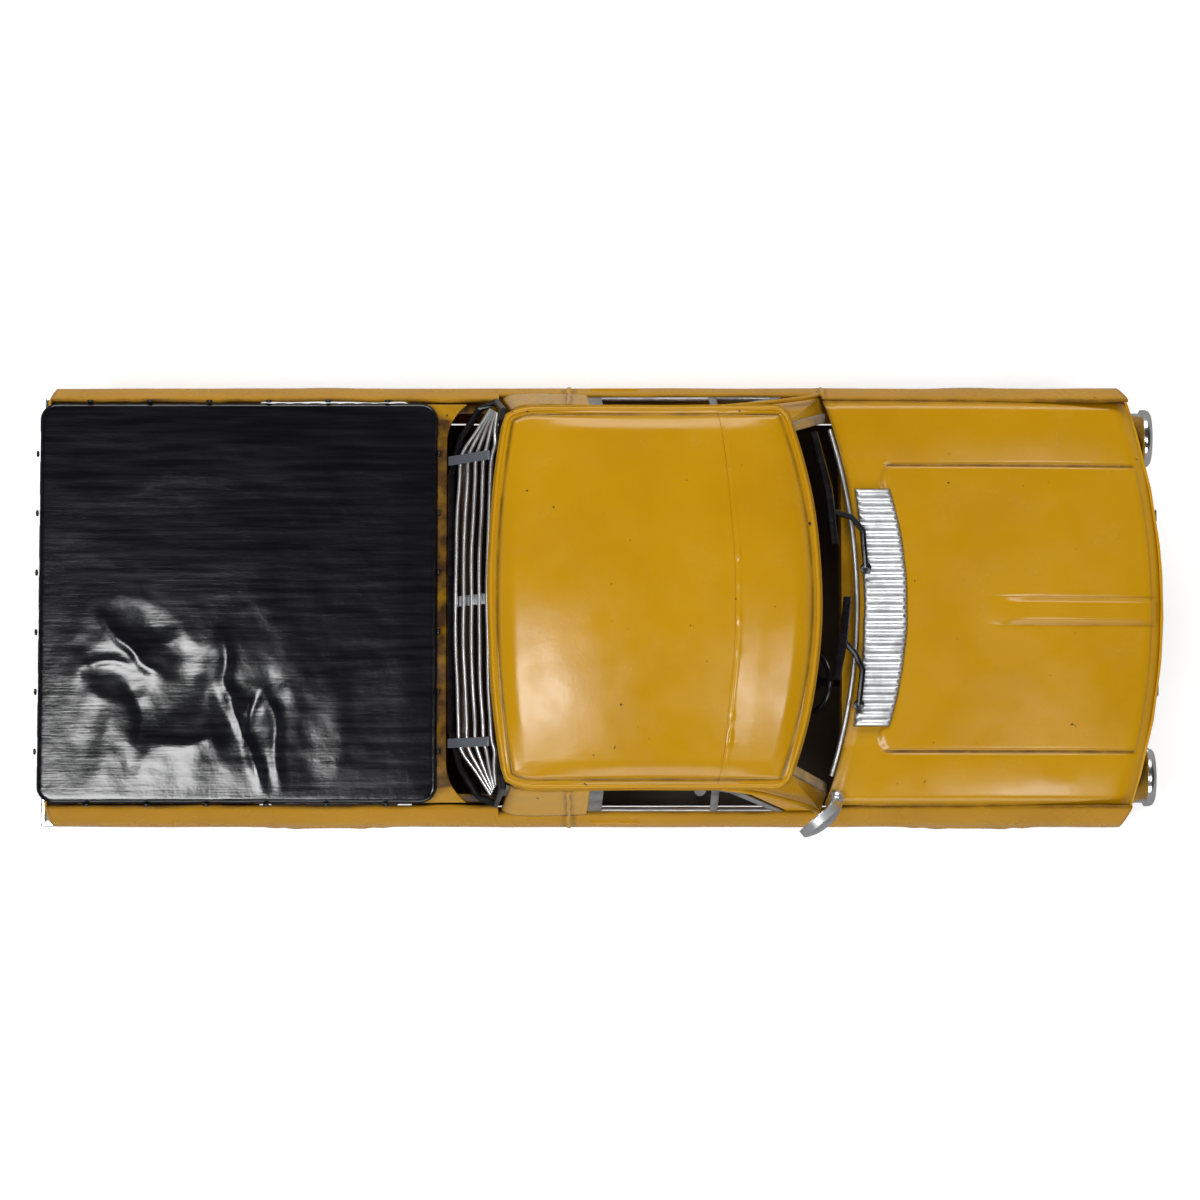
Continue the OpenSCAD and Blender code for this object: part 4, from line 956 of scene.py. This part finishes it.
def make_fins():
    """Folded seams that stand out of the sheet at both ends of each door."""
    parts = []
    for side in (-1, 1):
        for x, z_top in ((FIN_X, GUTTER_H - 2), (SCREEN_X - 10, BELT_H)):
            z = np.linspace(SILL_H + 1, min(BELT_H, z_top), 40)
            path = [(x, side * (side_y(h) + 0.35), h) for h in z]
            if z_top > BELT_H:
                path += [(x + 0.1, side * (cab_side_y(h) + 0.45), h) for h in np.linspace(BELT_H + 1, z_top, 14)]
            verts, faces, ring = [], [], 10
            for i, p in enumerate(path):
                waver = 0.12 * math.sin(i * 0.9 + x) + 0.08 * math.sin(i * 2.3)
                for k in range(ring):
                    a = 2 * math.pi * k / ring
                    verts.append((p[0] + waver + 0.72 * math.cos(a), p[1] + side * 0.9 * math.sin(a), p[2]))
            for i in range(len(path) - 1):
                for k in range(ring):
                    k2 = (k + 1) % ring
                    faces.append((i * ring + k, i * ring + k2, (i + 1) * ring + k2, (i + 1) * ring + k))
            faces.append(tuple(range(ring)))
            faces.append(tuple((len(path) - 1) * ring + k for k in range(ring)))
            parts.append(mesh_object("fin", verts, faces))
    joined("door_fins", parts, "body_paint", "door_seams")


def softened(name, node, slot, width=0.3, shade_amount=None, swell=0.0, cuts=()):
    """A copy of a CAD solid's mesh with its edges rounded; cuts give the painted shade places to end."""
    mesh = NODES[node].data.copy()
    mesh.name = name
    bm = bmesh.new()
    bm.from_mesh(mesh)
    bmesh.ops.remove_doubles(bm, verts=bm.verts[:], dist=0.002 * MM)
    bmesh.ops.dissolve_limit(bm, angle_limit=math.radians(3), verts=bm.verts[:], edges=bm.edges[:])
    for at, normal in cuts:
        bmesh.ops.bisect_plane(bm, geom=bm.verts[:] + bm.edges[:] + bm.faces[:], dist=1e-7,
                               plane_co=Vector(at) * MM, plane_no=normal)
    bm.normal_update()
    for v, normal in [(v, v.normal.copy()) for v in bm.verts]:
        v.co += normal * swell * MM
    sharp = [e for e in bm.edges if len(e.link_faces) == 2 and e.calc_face_angle() > math.radians(32)]
    bmesh.ops.bevel(bm, geom=sharp, offset=width * MM, segments=2, affect="EDGES", profile=0.6,
                    clamp_overlap=True)
    bmesh.ops.triangulate(bm, faces=bm.faces[:])
    layer = bm.verts.layers.float.new("painted_shade")
    for v in bm.verts:
        v[layer] = shade_amount(*(v.co / MM)) if shade_amount else 0
    bmesh.ops.recalc_face_normals(bm, faces=bm.faces[:])
    bm.to_mesh(mesh)
    bm.free()
    mesh.materials.clear()
    mesh.polygons.foreach_set("use_smooth", [True] * len(mesh.polygons))
    obj = bpy.data.objects.new(name, mesh)
    obj.matrix_world = NODES[node].matrix_world.copy()
    obj.modifiers.new("shade", "WEIGHTED_NORMAL").keep_sharp = True
    return link(obj, slot, node)


def make_bed_lips():
    """Lips under the deck beside the side panels, dark all over with painted shade; a narrow seam stays open outside
    them.
    """
    for name, side in (("bed_lip_left", 1), ("bed_lip_right", -1)):
        xs = np.linspace(side_lo.x + 1.2, QUARTER_X - 2, 120)
        xx, across = np.meshgrid(xs, np.linspace(0, 1, 6), indexing="ij")
        yy = SHOULDER_Y - 3.4 + 2.5 * across
        zz = SHOULDER_H - SHEET - 0.5 - 0.1 * across ** 2 + 0.06 * speckle(xx, across * 0, 15, 66)
        link(thicken(grid(name, xx, side * yy, zz, np.ones_like(xx), flip=side < 0), 0.4), "body_paint")


make_side("side_left", 1, "side_panel_left")
make_side("side_right", -1, "side_panel_right")
make_quarter("quarter_left", 1, "quarter_panel_left")
make_quarter("quarter_right", -1, "quarter_panel_right")
make_fins()
make_bed_lips()
for new_name, node_name, slot_name, edge in (
        ("screen_trim", "windscreen_trim", "silver_trim", 0.2),
        ("louvre_straps", "rear_window_straps", "grey_strap", 0.18),
        ("front_guards", "bumper_guards", "chrome", 0.7),
        ("bumper_front", "front_bumper", "chrome", 0.4),
        ("bumper_rear", "rear_bumper", "chrome", 0.4),
        ("left_pillar", "a_pillar_left", "body_paint", 0.7),
        ("right_pillar", "a_pillar_right", "body_paint", 0.7),
        ("nose_sheet", "nose_panel", "body_paint", 0.3),
        ("tail_sheet", "rear_panel", "body_paint", 0.25),
        ("tail_door", "tailgate", "body_paint", 0.3),
        ("pull_handles", "door_handles", "body_paint", 0.3),
        ("motor_sides", "motor_frame", "steel", 0.15),
):
    softened(new_name, node_name, slot_name, edge)
# Uneven darkening along the window frames, in the same shade attribute
for new_name, node_name in (("left_window_frame", "window_frame_left"), ("right_window_frame", "window_frame_right")):
    softened(new_name, node_name, "silver_trim", 0.3, lambda x, y, z: 0.3 + 0.25 * math.sin(x * 0.9 + z))
# Painted shade: dark on the deck strip in front of the cover, light on the rest of the rim
softened("bed_rim", "deck_panel", "body_paint", 0.25,
         lambda x, y, z: 1.0 if x > cover_hi.x - 1.1 and abs(y) < SHOULDER_Y - 4.9 else 0.25,
         cuts=[((cover_hi.x - 1, 0, 0), (1, 0, 0)), ((cover_hi.x - 2, 0, 0), (1, 0, 0)),
               ((0, SHOULDER_Y - 5, 0), (0, 1, 0)), ((0, 5 - SHOULDER_Y, 0), (0, 1, 0))])
softened("wiper_arms", "wipers", "black_paint", 0.15, swell=0.3)
softened("mirror_cup", "door_mirror", "silver_trim", 0.3, swell=0.45)
# Painted shade: the dashboard is darkened evenly
softened("dash_sheet", "dashboard", "body_paint", 0.25, lambda x, y, z: 0.4)


# ---------------------------------------------------------------- wheels
TRACK_HALF = 52
TREAD = [(19.5 - (0.45 if abs(abs(h) - 1.6) < 0.3 or abs(h) < 0.3 else 0), h)
         for h in (-2.8, -1.9, -1.85, -1.35, -1.3, -0.3, -0.25, 0.25, 0.3, 1.3, 1.35, 1.85, 1.9, 2.8)]
TYRE = [(13, -4.7), (13.5, -5.15), (14.6, -5.45), (15.5, -5.5), (15.7, -5.62), (16.1, -5.6), (16.3, -5.42),
        (17.3, -5.15), (18.2, -4.7), (18.9, -3.9), (19.3, -3.3)] + TREAD + [
        (19.3, 3.3), (18.9, 3.9), (18.2, 4.7), (17.3, 5.15), (16.3, 5.42), (16.1, 5.6), (15.7, 5.62),
        (15.5, 5.5), (14.6, 5.45), (13.5, 5.15), (13, 4.7)]
RIM = [(1.55, -4.3), (3.8, -4.3), (4.0, -4.0), (4.0, 0.2), (6.0, 0.7), (9.4, 1.1), (10.9, 0.5), (11.7, -0.9),
       (11.9, -4.2), (12.4, -4.5), (13.0, -4.4), (13.0, 4.3), (12.8, 4.7), (12.4, 4.75), (12.0, 4.3),
       (11.7, 3.0), (11.2, 2.2), (10.4, 2.0), (9.4, 2.3), (8.7, 2.9), (8.5, 3.6), (8.55, 4.2), (8.2, 4.6),
       (7.7, 4.4), (7.3, 4.3), (6.6, 4.9), (5.2, 5.6), (3.4, 6.2), (1.7, 6.5), (0.9, 6.55), (0.01, 6.6),
       (0.01, 4.2), (1.55, 4.2)]


def on_axle(x, side):
    return Matrix.Translation((x, side * TRACK_HALF, AXLE_Z)) @ Matrix.Rotation(-side * math.pi / 2, 4, "X")


def make_wheels(where, x, body):
    for what, profile, slot, steps in (("tyres", TYRE, "tyre", 120), ("wheels", RIM, "chrome", 96)):
        parts = [turned_object(what, profile, on_axle(x, side), steps) for side in (-1, 1)]
        joined(f"{where}_{what}_detailed", parts, slot, f"{where}_{what}", body=body)


make_wheels("front", FRONT_AXLE_X, "front_axle_set")
make_wheels("rear", REAR_AXLE_X, "rear_axle_set")


# ---------------------------------------------------------------- lamps and seat
LAMP_Y = SHOULDER_Y - 8.6
LAMP_Z = 44
BEZEL = [(6.65, -5.6), (7.35, -5.6), (7.35, 0), (8.25, 0.05), (8.4, 0.5), (8.35, 1.4), (8.0, 2.3), (7.4, 2.75),
         (6.9, 2.7), (6.65, 2.2), (6.6, 1.0)]
LAMP_GLASS = [(0.01, -0.9), (6.3, -0.9), (6.3, 0.9), (5.6, 1.4), (4.6, 1.75), (3.4, 2.05), (2.0, 2.25), (0.9, 2.33),
              (0.01, 2.35)]
TAIL_GLASS = [(0.01, 0), (4.4, 0), (5.5, 0.1), (5.6, 0.5), (5.3, 0.85), (5.0, 0.8), (4.6, 1.15), (3.6, 1.7),
              (2.3, 2.15), (1.0, 2.4), (0.01, 2.45)]
lamp_x = span("headlight_bezels")[1].x - 3


def facing(x, y, direction):
    return Matrix.Translation((x, y, LAMP_Z)) @ Matrix.Rotation(direction * math.pi / 2, 4, "Y")


joined("lamp_rims", [turned_object("rim", BEZEL, facing(lamp_x, s * LAMP_Y, 1)) for s in (-1, 1)],
       "chrome", "headlight_bezels")
joined("lamp_glasses", [turned_object("glass", LAMP_GLASS, facing(lamp_x, s * LAMP_Y, 1)) for s in (-1, 1)],
       "headlight_glass", "headlight_lenses")
tail_x = span("tail_lights")[1].x - SHEET
joined("tail_glasses", [turned_object("glass", TAIL_GLASS, facing(tail_x, s * LAMP_Y, -1)) for s in (-1, 1)],
       "tail_lens", "tail_lights")


def make_seat():
    """Bench pressed from sheet, with pleats across the squab and the back."""
    lo, hi = span("bench_seat")
    squab = lo.z + (34 - lo.z)
    path = [(hi.x - 0.6, lo.z), (hi.x - 0.2, squab - 5), (hi.x - 2.2, squab - 0.8), (hi.x - 7, squab + 0.1),
            (lo.x + 15, squab - 0.6), (lo.x + 8.2, squab - 0.2), (lo.x + 6.2, squab + 4), (lo.x + 3.4, hi.z - 6),
            (lo.x + 2.4, hi.z - 1.6), (lo.x + 1.2, hi.z - 0.4), (lo.x + 0.2, hi.z - 2), (lo.x + 1.6, squab)]
    run = np.concatenate([[0], np.cumsum([math.dist(a, b) for a, b in zip(path, path[1:])])])
    u = np.linspace(0, run[-1], 90)
    px, pz = np.interp(u, run, [p[0] for p in path]), np.interp(u, run, [p[1] for p in path])
    y = np.linspace(lo.y + 0.3, hi.y - 0.3, 180)
    xx, yy = np.meshgrid(px, y, indexing="ij")
    zz = np.repeat(pz[:, None], y.size, 1)
    pleat = np.abs(np.sin(math.pi * yy / 7.3)) ** 0.6
    depth = 0.6 * (1 - pleat) * smoothstep(6, 12, u)[:, None] * smoothstep(run[-1] - 2, run[-1] - 12, u)[:, None]
    slope_x, slope_z = np.gradient(px), np.gradient(pz)
    norm = np.hypot(slope_x, slope_z) + 1e-9
    xx = xx + depth * (-slope_z / norm)[:, None] * -1
    zz = zz + depth * (slope_x / norm)[:, None]
    # Painted shade in the pleat grooves
    obj = grid("pleated_seat", xx, yy, zz, 0.55 * (1 - pleat) * np.ones_like(xx))
    link(thicken(obj, 0.5), "seat_paint", "bench_seat")


make_seat()
for new_name, node_name, slot_name, edge in (
        ("cover_studs", "tonneau_studs", "cover_paint", 0.3),
        ("grille_bars", "grille", "silver_trim", 0.2),
        ("base_front", "front_base_plate", "base_metal", 0.25),
        ("base_rear", "rear_base_plate", "base_metal", 0.25),
        ("side_brights", "side_strips", "silver_trim", 0.25),
        ("brackets", "axle_brackets", "base_metal", 0.25),
):
    softened(new_name, node_name, slot_name, edge)


# ---------------------------------------------------------------- rear window wires
def glass_at(t, y):
    """A place on the sloping rear window, t from 0 at its foot to 1 at the roof."""
    return (GLASS_X + 11.6 * t + 1.4 * (y / 41) ** 2, y, SHOULDER_H + 3 + (GUTTER_H - SHOULDER_H - 6.5) * t)


def make_louvre():
    rise = GUTTER_H - SHOULDER_H
    for i in range(5):
        t = (i + 0.7) / 5
        foot = (QUARTER_X - 3.2 + 2.2 * t, SHOULDER_Y - 2.6 - 3 * t, SHOULDER_H + 4 + (rise - 10) * t)
        half = [glass_at(t, 0), glass_at(t, 12), glass_at(t, 24), glass_at(t, 34), glass_at(t, 40.2)]
        bend = [glass_at(t, 42.3), tuple(0.5 * (a + b) for a, b in zip(glass_at(t, 41), foot)), foot]
        bend[0] = (bend[0][0] + 0.5, bend[0][1], bend[0][2])
        side = half + bend
        wire = [(x, -y, z) for x, y, z in reversed(side[1:])] + side
        wire = [(x + 0.12 * math.sin(y * 0.21 + i), y, z + 0.1 * math.sin(y * 0.17 + 2 * i)) for x, y, z in wire]
        replaced = ["rear_window_louvre"] if i == 0 else []
        tube(f"louvre_wire_{i + 1}", wire, 0.58, "silver_trim", *replaced)
    low, high = glass_at(0.06, 0), glass_at(0.96, 0)
    lean = math.atan2(high[2] - low[2], high[0] - low[0])
    length = math.dist(low, high)
    clip = box_object((0, -1.5, -0.3), (length, 1.5, 0.3), 0.2)
    at = Vector(low) * MM + Vector((0.0011, 0, -0.0002))
    clip.matrix_world = Matrix.Translation(at) @ Matrix.Rotation(-lean, 4, "Y")
    joined("louvre_clip", [clip], "silver_trim")


make_louvre()
